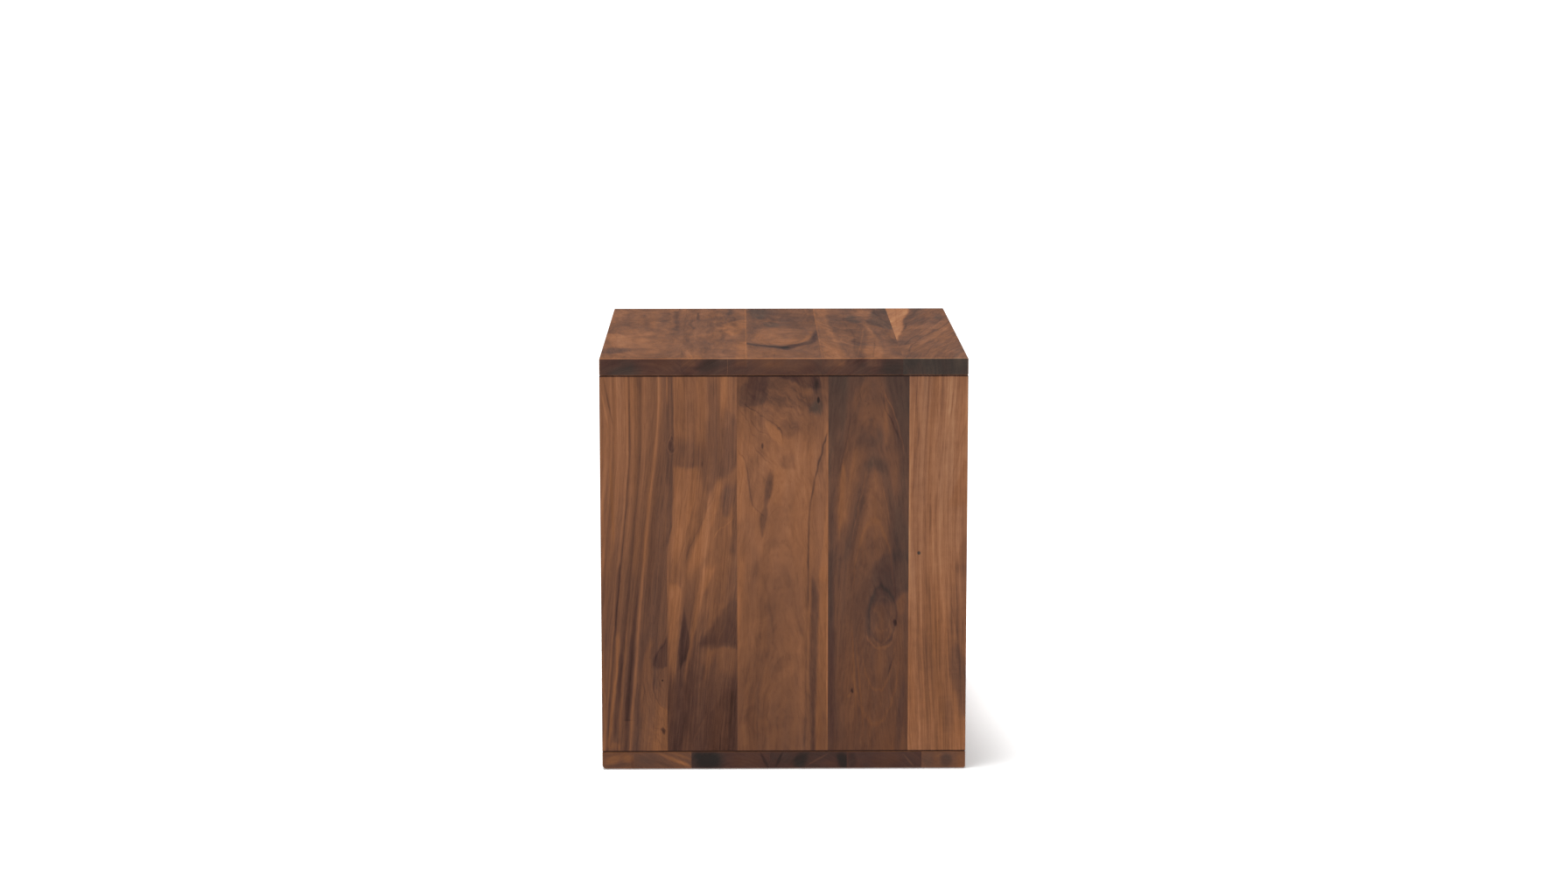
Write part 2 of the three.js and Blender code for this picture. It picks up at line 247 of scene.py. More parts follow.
def walnut(name, run, spec):
    """One board of walnut. run is 'right' or 'left' (grain up, outer face +X or -X), 'top' or 'base' (grain left to right),
    or 'back' (a veneered panel: upright leaves, each the mirror of its neighbour)."""
    m, g, p = material(name)
    pos = g.node("ShaderNodeTexCoord").outputs["Object"]
    x, y, z = g.split(pos)
    seed = float(spec.get("seed", 0)) * 13.7
    thick = 19.0
    if run == "back":
        leaf = spec.get("leaf", 73.0)
        u = g.math("PINGPONG", g.mad(x, 1000.0, 5.0 * leaf + spec.get("off", 0.0)), leaf)
        v = g.mul(z, 1000.0)
        w = g.mad(y, -1000.0, DEPTH * 500.0)
        low, high, thick = 10.5, 447.7, 6.0
    else:
        u = g.mad(y, 1000.0, -FRONT * 1000.0)
        if run in ("right", "left"):
            v = g.mul(z, 1000.0)
            w = g.mad(x, -1000.0 if run == "right" else 1000.0, WIDTH * 500.0)
            low, high = 20.1, HEIGHT * 1000.0 - 19.1
        else:
            v = g.mad(x, 1000.0, WIDTH * 500.0)
            w = g.mad(z, -1000.0, HEIGHT * 1000.0) if run == "top" else g.mad(z, 1000.0, -1.0)
            low, high = 0.0, WIDTH * 1000.0
    P0 = g.vec(u, v, g.add(w, seed))

    # slow wander of the grain, and its slant down through the board
    wander = spec.get("wander", 2.5)
    n1 = g.noise(g.vmath("MULTIPLY", P0, (1 / 42.0, 1 / 90.0, 1 / 60.0)), 1.0, 1.5, 0.45)
    n2 = g.noise(g.vmath("MULTIPLY", P0, (1 / 13.0, 1 / 36.0, 1 / 30.0)), 1.0, 1.5, 0.5)
    uu = g.mad(n1, wander * 2.0, g.add(u, -wander))
    uu = g.mad(n2, wander * 0.7, g.add(uu, -wander * 0.35))
    uu = g.mad(w, spec.get("slant", 0.35), uu)

    # drift: the whole grain leans over its length, or only past some u
    if spec.get("drift"):
        uu = g.sub(uu, g.table(v, spec["drift"], (0.0, 460.0), 1, 60.0)[0])
    for f in spec.get("fan", []):
        uu = g.sub(uu, g.mul(g.step(u, f[0], f[1], 0.0, f[4]), g.step(v, f[2], f[3])))

    # grain flows round each knot
    for k in spec.get("knots", []):
        ku, kv, kr, stretch = k[0], k[1], k[2], k[3]
        q = g.place(P0, (ku, kv), 0.0, (kr, kr * stretch))
        r2 = g.math("MAXIMUM", g.vmath("DOT_PRODUCT", q, q), 0.6)
        push = g.math("DIVIDE", g.split(q)[0], r2)
        uu = g.mad(push, -kr * (k[4] if len(k) > 4 else 1.0), uu)

    # growth rings: distance from the pith, which may lean along the board
    pu0, pu1, pw0, pw1 = spec.get("pith", (-160.0, 0.0, 8.0, 0.0))
    du = g.sub(uu, g.mad(v, pu1, pu0) if pu1 else pu0)
    pw = g.mad(v, pw1, pw0) if pw1 else pw0
    dw = g.sub(w, pw)
    if spec.get("pith_wobble"):
        dw = g.mad(g.noise(g.vmath("MULTIPLY", P0, (1 / 300.0, 1 / 70.0, 1 / 300.0)), 1.0, 2.0), spec["pith_wobble"], dw)
    R = g.math("SQRT", g.mad(du, du, g.mul(dw, dw)))
    G = g.add(R, spec.get("ring_zero", pu0 if pu0 < -60 else 0.0))
    ang = g.math("ARCTAN2", dw, du)
    Q = g.vec(G, v, g.mad(ang, 1.4, seed))     # round the pith the streaks differ from side to side

    # tone of the wood, 0 dark to 1 light, and hue, below 0 grey to 1 golden
    rows = spec.get("along") or [(0, spec.get("tone", 0.45), spec.get("hue", 0.4)), (460, spec.get("tone", 0.45), spec.get("hue", 0.4))]
    T, H = g.table(v, rows, (0.0, 460.0), 2, 1.0)
    if spec.get("across"):
        aT, aH = g.table(G, spec["across"], spec.get("span", (-30.0, 110.0)), 2, 0.5, "LINEAR")
        fine = g.noise(g.vmath("MULTIPLY", Q, (1 / 20.0, 1 / 90.0, 1.0)), 1.0, 1.0)
        T = g.mad(aT, g.mad(fine, 1.6, 0.2), T)
        H = g.add(aH, H)
    end, calm = None, 1.0
    if run in ("top", "base"):
        end = g.math("MAXIMUM", g.step(v, 0.9, 0.2), g.step(v, high - 0.9, high - 0.2))
        calm = g.mad(end, -0.62, 1.0)
    ca, cb, cc = spec.get("contrast", (0.16, 0.12, 0.05))
    bands = spec.get("bands", (12.0, 3.6))
    a = g.noise(g.vmath("MULTIPLY", Q, (1 / bands[0], 1 / 260.0, 1.0)), 1.0, 2.0, 0.5)
    b = g.noise(g.vmath("MULTIPLY", Q, (1 / bands[1], 1 / 150.0, 2.3)), 1.0, 2.5, 0.55)
    f = g.noise(g.vmath("MULTIPLY", Q, (1.1, 1 / 30.0, 3.1)), 1.0, 2.0, 0.6)
    N = g.mad(g.sub(a, 0.5), ca * 2.2, g.mad(g.sub(b, 0.5), cb * 2.2, g.mul(g.sub(f, 0.5), cc * 1.8)))
    patch = g.noise(g.vmath("MULTIPLY", P0, (1 / 36.0, 1 / 75.0, 1 / 50.0)), 1.0, 2.5, 0.5, 0.3)
    N = g.mad(g.sub(patch, 0.5), spec.get("patchy", 0.12) * 2.0, N)
    smoke = g.noise(g.vmath("MULTIPLY", Q, (1 / 11.0, 1 / 34.0, 1.3)), 1.0, 2.5, 0.55, 0.9)
    N = g.mad(g.sub(smoke, 0.5), spec.get("smoke", 0.07) * 2.0, N)
    dash = g.noise(g.vmath("MULTIPLY", Q, (1 / 1.5, 1 / 22.0, 4.1)), 1.0, 2.0, 0.6)
    N = g.mad(g.step(dash, 0.46, 0.70), -spec.get("dash", 0.06), N)
    T = g.mad(N, calm, T)
    H = g.mad(g.sub(g.noise(g.vmath("MULTIPLY", Q, (1 / 14.0, 1 / 190.0, 1.7)), 1.0, 2.0), 0.5), 1.1, H)
    H = g.mad(g.sub(patch, 0.5), 0.5, H)
    # painted sheen: faint light cross bands painted in for the shimmer the wood shows in the light
    if spec.get("painted_shimmer"):
        s = g.noise(g.vmath("MULTIPLY", P0, (1 / 24.0, 1 / 7.0, 1 / 30.0)), 1.0, 2.0, 0.5, 0.4)
        T = g.mad(g.sub(s, 0.5), spec["painted_shimmer"] * 2.0, T)

    # figure in its own places: P features lie in (u, v), Q features follow the grain in (G, v),
    # A and V are the upper and lower ends of a ring, O a whole one
    wob = g.noise(g.vmath("MULTIPLY", P0, (1 / 9.0, 1 / 20.0, 1 / 20.0)), 1.0, 2.0, 0.55)
    wob2 = g.noise(g.vmath("MULTIPLY", P0, (1 / 8.0, 1 / 17.0, 1 / 20.0)), 1.0, 2.0, 0.55, 0.2)
    PW = g.vmath("ADD", P0, g.vec(g.mad(wob, 6.0, -3.0), g.mad(wob2, 16.0, -8.0), 0.0))
    QW = g.vmath("ADD", Q, g.vec(g.mad(wob, 2.0, -1.0), g.mad(wob2, 24.0, -12.0), 0.0))
    where = {"P": PW, "Q": QW, "p": P0, "q": Q}
    fray = g.noise(g.vmath("MULTIPLY", Q, (1 / 2.6, 1 / 42.0, 1.7)), 1.0, 2.0, 0.6)
    fray = g.mad(fray, 1.7, -0.85)
    FT, FH = 0.0, 0.0
    for at, size, turn, cell, amp, dh in spec.get("swirl", []):      # grain that runs its own way inside a patch
        mask = g.blob(PW, at, size, 0.0, 0.8)
        n = g.noise(g.place(PW, at, turn, cell), 1.0, 3.0, 0.6, 0.5)
        FT = g.mad(g.mul(mask, g.sub(n, 0.5)), amp, FT)
        if dh:
            FH = g.mad(g.mul(mask, g.sub(n, 0.5)), dh, FH)
    loose = g.split(g.vmath("ADD", P0, g.vec(g.mad(wob, 2.4, -1.2), g.mad(wob2, 8.0, -4.0), 0.0)))
    frayed = g.mad(fray, 1.6, loose[0])
    for rows, soft, fade, dt, dh in spec.get("zones", []):           # a band between two edges u0(v) and u1(v)
        mid = (min(r[1] for r in rows) + max(r[2] for r in rows)) / 2
        v0, v1 = min(r[0] for r in rows), max(r[0] for r in rows)
        a0, a1 = g.table(loose[1], [(r[0], r[1] - mid, r[2] - mid) for r in rows], (v0, v1), 2, 60.0)
        d = g.math("MINIMUM", g.sub(frayed, g.add(a0, mid)), g.sub(g.add(a1, mid), frayed))
        ends = g.math("MINIMUM", g.mad(loose[1], 1.0 / fade[0], -v0 / fade[0]), g.mad(loose[1], -1.0 / fade[1], v1 / fade[1]))
        mask = g.mul(g.mul(g.step(d, -1.7 * soft, 1.7 * soft), g.step(ends, -0.9, 0.9)), g.mad(fray, 0.45, 0.92))
        FT = g.mad(mask, dt, FT)
        if dh:
            FH = g.mad(mask, dh, FH)
    for pts, wide, dt, dh in spec.get("lines", []):                   # a thin line along points that rise or fall in v
        mid = (min(q[0] for q in pts) + max(q[0] for q in pts)) / 2
        v0, v1 = min(q[1] for q in pts), max(q[1] for q in pts)
        a0 = g.table(loose[1], [(q[1], q[0] - mid) for q in pts], (v0, v1), 1, 60.0)[0]
        d = g.math("ABSOLUTE", g.sub(loose[0], g.add(a0, mid)))
        ends = g.math("MINIMUM", g.mad(loose[1], 0.2, -v0 * 0.2), g.mad(loose[1], -0.2, v1 * 0.2))
        mask = g.mul(g.step(d, wide * 1.5, 0.0), g.step(ends, -0.9, 0.9))
        FT = g.mad(mask, g.mad(fray, 0.9 * dt, 0.8 * dt), FT)
        if dh:
            FH = g.mad(mask, dh, FH)
    for ft in spec.get("feats", []):
        kind, at, size, turn, soft, dt, dh = ft
        if kind in "AVO":
            mask = g.arc(PW, at, size, turn, soft, {"A": 1, "V": -1, "O": 0}[kind])
        else:
            mask = g.blob(where[kind], at, size, turn, soft, fray if kind in "PQ" else None)
        FT = g.mad(mask, dt, FT)
        if dh:
            FH = g.mad(mask, dh, FH)
    for k in spec.get("knots", []):      # a dark heart with rings drawn tight round it
        ku, kv, kr, stretch = k[0], k[1], k[2], k[3]
        dark = k[5] if len(k) > 5 else 0.35
        d = g.vmath("LENGTH", g.place(PW, (ku, kv), 0.0, (kr, kr * stretch)))
        FT = g.mad(g.step(d, 1.3, 0.3), -dark, FT)
        FT = g.mad(g.math("SINE", g.mul(d, 9.0)), g.step(d, 2.4, 0.8, 0.0, -0.035), FT)
    outer = g.step(w, 11.0, 7.0)         # figure placed on the outer face ends inside the board
    if FT != 0.0:
        T = g.mad(FT, outer, T)
    if FH != 0.0:
        H = g.mad(FH, outer, H)

    # end grain: darker and greyer, with rings, rays and round pores
    if end is not None:
        et0, eh0 = spec.get("end", (-0.24, -0.5))
        ring = g.noise(g.vmath("MULTIPLY", g.vec(G, 0.0, seed), (1 / 2.8, 1.0, 1.0)), 1.0, 2.0, 0.55)
        ray = g.noise(g.vec(g.mul(ang, 150.0), g.mul(R, 0.05), seed), 1.0, 2.0, 0.6)
        et = g.mad(g.sub(ring, 0.5), spec.get("ring", 0.13), et0)
        et = g.mad(g.sub(ray, 0.5), 0.08, et)
        eh = eh0
        E = g.vec(g.mad(wob, 3.0, g.add(u, -1.5)), w, 0.0)
        for ft in spec.get("ends", []):
            at, size, turn, soft, dt, dh = ft
            mask = g.blob(E, at, size, turn, soft)
            et = g.mad(mask, dt, et)
            if dh:
                eh = g.mad(mask, dh, eh)
        T = g.mad(end, et, T)
        H = g.mad(end, eh, H)

    # pores: short dark dashes along the grain, dots on the end grain
    pn = g.noise(g.vec(g.mul(uu, 2.1), g.mul(v, 0.13), g.mul(w, 2.1)), 1.0, 1.0, 0.5)
    pore = g.mul(g.step(pn, 0.61, 0.76), g.step(b, 0.35, 0.62, 0.4, 1.0))
    T = g.mad(pore, spec.get("pore", -0.10), T)

    # arrises are lighter: partly rubbed by handling and sanding, partly a painted highlight where the rounded arris
    # catches the light
    def close(s, a0, a1):
        return g.math("MAXIMUM", g.step(s, a0 + 1.7, a0 + 0.5), g.step(s, a1 - 1.7, a1 - 0.5))
    ku, kv, kw = close(u, 0.0, DEPTH * 1000.0), close(v, low, high), close(w, 0.0, thick)
    if run != "back":
        if run in ("right", "left"):     # painted shade: the line where a side meets the top or the base is darkened, as shadow in the joint would darken it
            edge = g.mul(ku, kw)
            joint_shade = g.mul(g.math("MAXIMUM", g.step(v, low + 1.7, low + 0.9), g.step(v, high - 1.5, high - 0.7)), kw)
            T = g.mad(joint_shade, -0.55, T)
        else:
            edge = g.math("MAXIMUM", g.mul(ku, kw), g.math("MAXIMUM", g.mul(kv, kw), g.mul(ku, kv)))
        rub = g.noise(g.vmath("MULTIPLY", P0, (1 / 30.0, 1 / 30.0, 1 / 30.0)), 1.0, 3.0, 0.6)
        T = g.mad(edge, g.mad(rub, spec.get("edge", 0.24), -0.02), T)
        if end is not None:
            H = g.mad(edge, 0.2, H)
        if run == "top":                 # the top's upper arris at both ends is painted palest: a painted highlight where it catches the light
            T = g.mad(g.mul(kv, g.step(w, 1.6, 0.4)), 0.20, T)

    T = g.math("ADD", T, 0.0, clamp=True)
    gain = spec.get("gain", 0.885)
    film = spec.get("film", 0.003)
    cool = g.ramp(T, [(s, stain(c, gain, film)) for s, c in COOL])
    warm = g.ramp(T, [(s, stain(c, gain, film)) for s, c in WARM])
    grey = g.ramp(T, [(s, stain(c, gain, film)) for s, c in GREY])
    col = g.mix(g.math("ADD", H, 0.0, clamp=True), cool, warm)
    col = g.mix(g.math("MULTIPLY", H, -1.0, clamp=True), col, grey)
    g.put(p.inputs["Base Color"], col)

    # satin oil finish, duller in the pores and on end grain
    rough = g.mad(g.sub(patch, 0.5), 0.12, spec.get("rough", 0.47))
    rough = g.mad(f, 0.06, rough)
    rough = g.mad(pore, 0.20, rough)
    if end is not None:
        rough = g.mad(end, 0.10, rough)
    g.put(p.inputs["Roughness"], rough)
    p.inputs["Specular IOR Level"].default_value = spec.get("spec", 0.12)
    p.inputs["IOR"].default_value = 1.28
    h = g.mad(pore, -1.0, g.mul(f, 0.30))
    h = g.mad(b, 0.30, h)
    g.put(p.inputs["Normal"], g.bump(h, 0.00012, 0.4))
    return m


# ------------------------------------------------------------------ each board's own figure

RIGHT = [
    dict(seed=1, pith=(-160, 0, 8, 0), wander=1.5, contrast=(0.15, 0.11, 0.10), bands=(9.0, 1.9), patchy=0.05, smoke=.05,
         drift=[(0, -24), (36, -22), (80, -19), (114, -16), (153, -13.5), (191, -10), (233, -6), (287, -1), (330, 2.5), (364, 4), (400, 4), (457, 3)],
         fan=[(40, 60, 290, 430, 7.0)],
         along=[(0, .36, .5), (60, .37, .5), (110, .39, .5), (170, .40, .45), (230, .42, .45), (280, .47, .45), (340, .51, .5), (400, .53, .5), (457, .54, .5)],
         across=[(-12, 0, 0), (0, .02, 0), (2.5, .10, .1), (6, -.02, 0), (9, .06, 0), (12, -.03, .15), (15, .05, 0), (20, .04, 0), (24, .03, 0), (26.6, .10, .1),
                 (28.2, -.20, -.1), (30.5, 0, 0), (33, .03, 0), (36, -.06, 0), (39.5, -.16, -.05), (42, .03, 0), (45, -.03, 0), (48.8, -.17, -.05), (51.2, -.04, 0),
                 (53.6, .18, .2), (56.5, -.06, -.1), (62, -.10, -.3), (70, -.08, -.3), (82, 0, 0), (96, 0, 0)],
         swirl=[((60, 72), (22, 60), 14, (3.2, 22), .26, .3), ((56, 40), (24, 26), 62, (3.0, 20), .20, .2)],
         zones=[([(152, 15.2, 16.2), (180, 15.2, 18.2), (205, 16.8, 20), (232, 19.4, 22)], .6, (4, 8), -.20, -.1), ([(26, 5, 8), (45, 7.5, 10.6), (60, 9, 12), (80, 11.4, 14.2), (100, 14, 16.6), (125, 16, 19.2), (150, 16, 20)], .7, (4, 10), .15, .5),
                ([(36, 12, 16), (60, 13, 18), (80, 15, 19.6), (100, 17.4, 22), (132, 20.4, 23.4)], 1.0, (6, 8), -.11, -.1), ([(20, 17.4, 19.4), (50, 18.6, 20.8), (80, 20.4, 22.6), (110, 23, 25.2), (140, 25.4, 28), (172, 27, 29)], .8, (4, 10), .10, .3),
                ([(56, 24, 31), (90, 26, 35), (120, 29, 37), (150, 33, 40), (175, 36.4, 41), (200, 40, 43), (234, 44, 47)], 1.2, (3, 10), -.10, -.15),
                ([(20, 40, 74), (50, 42, 74), (66, 42, 74), (74, 42, 64), (90, 41, 58), (110, 42, 56), (130, 48, 54), (146, 52, 57)], 1.6, (3, 6), .10, .4),
                ([(113, 60, 66), (120, 57, 73), (128, 59, 73), (140, 66, 73), (148, 70, 73)], .9, (3, 3), -.16, -.2)],
         lines=[([(57, 100), (57.6, 88), (60, 80), (64, 74), (70, 68)], .8, -.14, 0), ([(49, 118), (50, 100), (54, 82), (59, 68), (64, 58)], .8, -.08, 0), ([(45, 112), (46, 92), (50, 74), (54, 60)], .8, -.07, 0),
                ([(71, 146), (65, 136), (60, 126), (57, 116)], .7, -.12, 0), ([(57, 49.5), (63, 46), (68, 43)], .9, -.20, 0), ([(58, 40), (63, 32), (66, 24)], .9, -.10, 0), ([(52, 54), (60, 52.5), (70, 50)], .8, -.08, 0),
                ([(66, 112), (62, 104), (64, 94), (69, 88)], .7, -.08, 0)],
         feats=[("p", (29, 56), (5.5, .9), 0, .6, -.10, 0),
                ("P", (2.5, 60), (1.6, 70), 0, .6, .10, .3), ("p", (2.8, 260), (1.6, 60), 0, .6, .10, .3), ("p", (12.8, 300), (1.8, 52), 2, .6, .0, .5),
                ("p", (9, 412), (1.2, 26), 11, .6, -.16, 0), ("p", (5.6, 402), (1.2, 26), 11, .6, .10, .2),
                ("p", (66.7, 100.6), (1.1, 1.1), 0, .6, -.5, 0), ("P", (68, 43.5), (3.2, 2.0), -20, .8, -.34, 0), ("P", (13, 26), (9, 5), 0, .7, .10, .3)]),
    dict(seed=2, pith=(-160, 0, 8, 0), wander=1.6, contrast=(0.13, 0.15, 0.09), bands=(10.0, 2.4), patchy=0.07, smoke=.11,
         drift=[(0, -21), (50, -18), (100, -14), (150, -9), (200, -4), (250, 0), (300, 4), (340, 8), (400, 10), (457, 10)],
         along=[(0, .17, .5), (50, .18, .5), (88, .22, .5), (112, .31, .5), (150, .38, .5), (190, .45, .5), (240, .51, .5), (300, .53, .55), (350, .50, .5), (380, .53, .5), (457, .55, .5)],
         knots=[(77.3, 362, 3.6, 1.9, 0.8, 0.20)],
         zones=[([(246, 70, 73), (270, 70, 77), (300, 70, 79), (350, 70, 79.5), (372, 70, 80.5), (440, 70, 80)], .6, (12, 6), -.17, -.35),
                ([(240, 76, 90), (270, 79, 95), (290, 80.5, 101), (310, 80, 105), (330, 79.5, 107), (338, 79, 107)], 1.6, (16, 3), .10, .25),
                ([(336, 84, 106), (344, 80, 110), (356, 80, 108), (368, 82, 102)], 3.5, (4, 8), -.09, -.25),
                ([(300, 122, 126), (320, 113, 129), (340, 108, 150), (362, 112, 150), (388, 119, 150), (404, 120, 134), (440, 118, 128)], 3.5, (14, 16), -.12, -.3),
                ([(98, 76, 79), (120, 75, 82), (150, 74, 84), (175, 73, 86), (200, 73, 88), (209, 73, 84)], 1.2, (10, 4), .14, .3), ([(112, 85, 87), (125, 85, 92), (145, 86, 97), (160, 87.5, 94), (178, 90.5, 92)], .9, (4, 5), -.19, -.2),
                ([(98, 90, 92), (120, 92, 96), (140, 96, 99.5), (160, 99, 104), (180, 102, 108), (200, 106, 113), (228, 111, 126)], 1.2, (10, 8), .14, .35),
                ([(138.5, 108, 150), (150, 112, 150), (160, 120, 150), (170, 127, 150), (180, 134, 150), (190, 141, 150)], 2.6, (5, 8), -.17, -.2), ([(140, 126, 150), (165, 132, 150), (182, 142, 150)], 3.0, (8, 8), -.05, 0), ([(186, 126, 150), (210, 130, 150), (232, 136, 150)], 2.6, (6, 12), -.06, -.1),
                ([(98, 110, 114), (118, 113.5, 120), (134, 117, 124)], 1.8, (10, 3), .10, .3), ([(106, 128, 150), (122, 126, 150), (137, 122, 150)], 2.2, (8, 2), .05, .2), ([(98, 106, 109), (108, 108, 113), (118, 110, 112)], 1.4, (4, 4), -.10, -.2),
                ([(20, 117, 150), (60, 118, 150), (76, 126, 150), (90, 135, 150)], 1.6, (3, 4), -.05, .1), ([(20, 79, 88), (40, 84, 92), (62, 90, 98), (84, 98, 106)], 2.2, (4, 12), -.04, -.2),
                ([(222, 94, 105), (240, 100, 114), (270, 109, 121), (290, 115, 127), (310, 121, 131), (326, 127, 133)], 1.6, (20, 4), .14, .3), ([(240, 92, 98), (262, 100, 107), (290, 106, 114), (320, 110, 121)], 1.6, (16, 8), -.08, -.1),
                ([(284, 134, 140), (300, 132, 144), (318, 134, 146)], 2.0, (4, 8), -.13, -.5), ([(262, 143, 151), (290, 144, 151), (322, 146, 151)], 1.2, (8, 8), -.15, -.2),
                ([(240, 138, 150), (262, 140, 150)], 2.4, (8, 5), -.12, -.2), ([(392, 131, 135), (415, 132, 137), (440, 134, 139)], 1.6, (10, 4), .10, .3)],
         lines=[([(127, 140), (131, 152), (137, 168)], .9, .07, .1), ([(138, 140), (141, 150), (146, 164)], .9, .06, .1), ([(92, 122), (97, 146), (101, 170), (106, 196)], .8, -.08, -.1), ([(108, 140), (114, 162), (119, 186), (125, 212)], .8, -.08, -.1),
                ([(98, 24), (104, 40), (114, 60), (124, 74)], .9, .05, .1), ([(92, 232), (99, 252), (108, 272), (118, 296), (127, 318)], .9, -.09, -.1), ([(84, 228), (90, 250), (97, 275), (104, 300), (106, 330)], .9, -.09, -.1),
                ([(88, 300), (90, 330)], .8, -.10, 0), ([(99, 296), (101, 332)], .8, -.08, 0), ([(123, 258), (134, 272), (145, 282)], 1.0, .10, .2)],
         feats=[("p", (73.2, 425), (1.0, 20), 0, .6, .22, .3), ("P", (79, 197), (3, 10), 0, .8, .10, -.2), ("p", (111, 341), (1.0, 3.5), 0, .6, -.14, 0)]),
    dict(seed=3, pith=(198, 0, 46, 0.05), pith_wobble=14.0, wander=3.0, contrast=(0.09, 0.09, 0.05), bands=(7.0, 2.4), patchy=0.10, smoke=.12,
         along=[(0, .38, .6), (40, .40, .6), (100, .45, .6), (160, .49, .6), (220, .54, .55), (280, .59, .5), (340, .60, .5), (378, .55, .5), (402, .475, .4), (424, .37, .4), (457, .34, .4)],
         swirl=[((196, 408), (52, 40), 52, (4.5, 26), .42, .5), ((176, 350), (34, 50), 30, (4.0, 24), .26, .3), ((214, 320), (30, 70), 4, (5.0, 30), .18, .2)],
         zones=[([(404, 150, 172), (412, 149, 181), (422, 150, 181), (432, 160, 183), (442, 162, 184)], 2.2, (3, 6), -.13, -.3),
                ([(424, 222, 238), (430, 212, 239), (436, 198, 236), (444, 190, 234)], 2.6, (3, 8), -.16, -.3), ([(403, 196, 226), (410, 180, 234), (416, 186, 236)], 2.2, (3, 4), -.09, -.1),
                ([(370, 200, 210), (380, 196, 217), (389, 198, 212)], 2.6, (4, 4), -.11, -.2), ([(361, 196, 199), (370, 186, 199), (380, 181, 193), (388, 180, 184)], 1.2, (3, 3), .12, .4),
                ([(284, 148, 172), (300, 148, 164), (320, 148, 160), (345, 148, 157), (358, 148, 151)], 1.0, (14, 3), .07, .3),
                ([(261, 175.6, 177), (272, 174, 179), (285, 174, 182), (295, 178, 182), (303, 178, 185), (318, 180, 188), (333, 184, 189)], .9, (3, 5), -.20, -.3),
                ([(336, 196, 212), (344, 196, 213), (352, 200, 210)], 2.4, (3, 4), -.09, -.2),
                ([(18, 229.6, 234), (50, 229.6, 234.4), (100, 228, 235), (150, 228.6, 237), (180, 229.6, 237.6), (200, 230, 236), (218, 229, 233)], 1.3, (3, 14), -.21, -.35), ([(18, 236, 250), (120, 237, 250), (224, 238, 250)], 1.0, (3, 10), .04, .4),
                ([(18, 221.4, 224), (100, 222.6, 225.4), (200, 224, 226)], .8, (3, 14), -.08, -.1), ([(40, 162, 186), (52, 164, 188), (64, 168, 184)], 4, (8, 8), -.05, 0), ([(160, 148, 153), (200, 148, 156), (236, 148, 158)], 1.6, (12, 10), .05, .2), ([(325, 234, 241), (350, 238, 245), (372, 243, 248)], 1.2, (10, 4), -.09, -.2),
                ([(215, 239, 250), (250, 242, 250), (300, 246.6, 250), (385, 246.4, 250)], .8, (12, 6), .10, .4), ([(300, 184, 200), (330, 188, 204), (338, 190, 200)], 2.2, (12, 4), .05, .2)],
         lines=[([(158, 406), (170, 398), (180, 391), (190, 385), (197, 377), (199, 364)], 1.1, -.17, -.1), ([(149.5, 358), (157, 346), (160, 335), (162, 320), (164, 305), (168, 294), (178, 283)], 1.1, -.14, -.1),
                ([(163, 392), (172, 379), (180, 374), (190, 368), (200, 362.5), (214, 361)], .9, -.12, -.1), ([(168, 360), (175, 352), (181, 345), (188, 341), (198, 339)], .9, -.12, -.1),
                ([(247.6, 376), (243, 362), (240, 350), (235, 330), (231, 310), (228, 290), (227, 260), (226.6, 225)], 1.2, -.26, -.2), ([(183, 282), (192, 291), (201, 297)], .9, -.08, 0),
                ([(152, 400), (160, 390), (166, 374), (172, 366)], .8, -.08, 0)],
         feats=[
                ("p", (237.4, 411.4), (1.5, 3.6), 0, .6, -.5, -.5), ("P", (234, 402), (8, 9), 0, .8, -.16, -.8), ("P", (235, 428), (4, 12), 0, .7, -.10, -.3),
                ("p", (176.6, 361), (1.4, 3.6), 0, .6, -.30, -.2), ("P", (178, 359), (6, 8), 0, .8, -.06, 0), ("p", (181, 350), (14, 1.8), -45, .7, -.06, 0),
                ("p", (226.6, 215), (1.3, 40), 0, .7, -.14, -.2), ("p", (247.4, 120), (.9, 100), 0, .5, .20, .2), ("A", (175, 118), (15, 105), 2, .16, -.06, 0),
                ("A", (176, 60), (22, 92), -3, .12, -.05, 0), ("V", (198, 350), (22, 60), 0, .14, -.04, 0), ("P", (172, 60), (16, 50), 0, .8, -.04, .2), ("p", (150.2, 150), (1.6, 60), 0, .6, .08, .3)]),
    dict(seed=4, pith=(294, 0, 7, 0.1), wander=2.0, contrast=(0.05, 0.06, 0.045), bands=(9.0, 3.0), patchy=0.07, smoke=.09, span=(0.0, 80.0),
         along=[(0, .29, .75), (50, .30, .7), (110, .31, .55), (160, .33, .4), (200, .32, .25), (250, .36, .25), (300, .40, .25), (350, .39, .2), (400, .36, .05), (430, .33, 0), (457, .32, 0)],
         swirl=[((292, 320), (40, 110), 0, (5.0, 34), .13, .2), ((306, 172), (26, 46), 20, (4.0, 20), .16, .2), ((290, 80), (40, 60), -10, (5.0, 30), .12, .2)],
         zones=[([(268, 246, 253), (300, 246, 256), (340, 246, 262), (380, 246, 266), (420, 246, 268), (442, 246, 270)], 2.2, (20, 4), -.09, -.4),
                ([(238, 318, 340), (270, 322, 340), (300, 322, 340), (340, 326, 340), (380, 322, 340), (410, 316, 340), (442, 311, 340)], 2.4, (16, 4), -.11, -.4),
                ([(360, 282, 317), (370, 286, 314), (379, 292, 308)], 4.0, (8, 8), -.06, -.2),
                ([(186, 298, 320), (196, 301, 330), (206, 300, 340), (218, 297, 340), (232, 302, 340), (244, 312, 340)], 3.0, (6, 8), -.10, -.5), ([(150, 291, 297), (165, 289, 294), (182, 291, 297), (198, 296, 303)], 1.4, (5, 5), -.08, -.4),
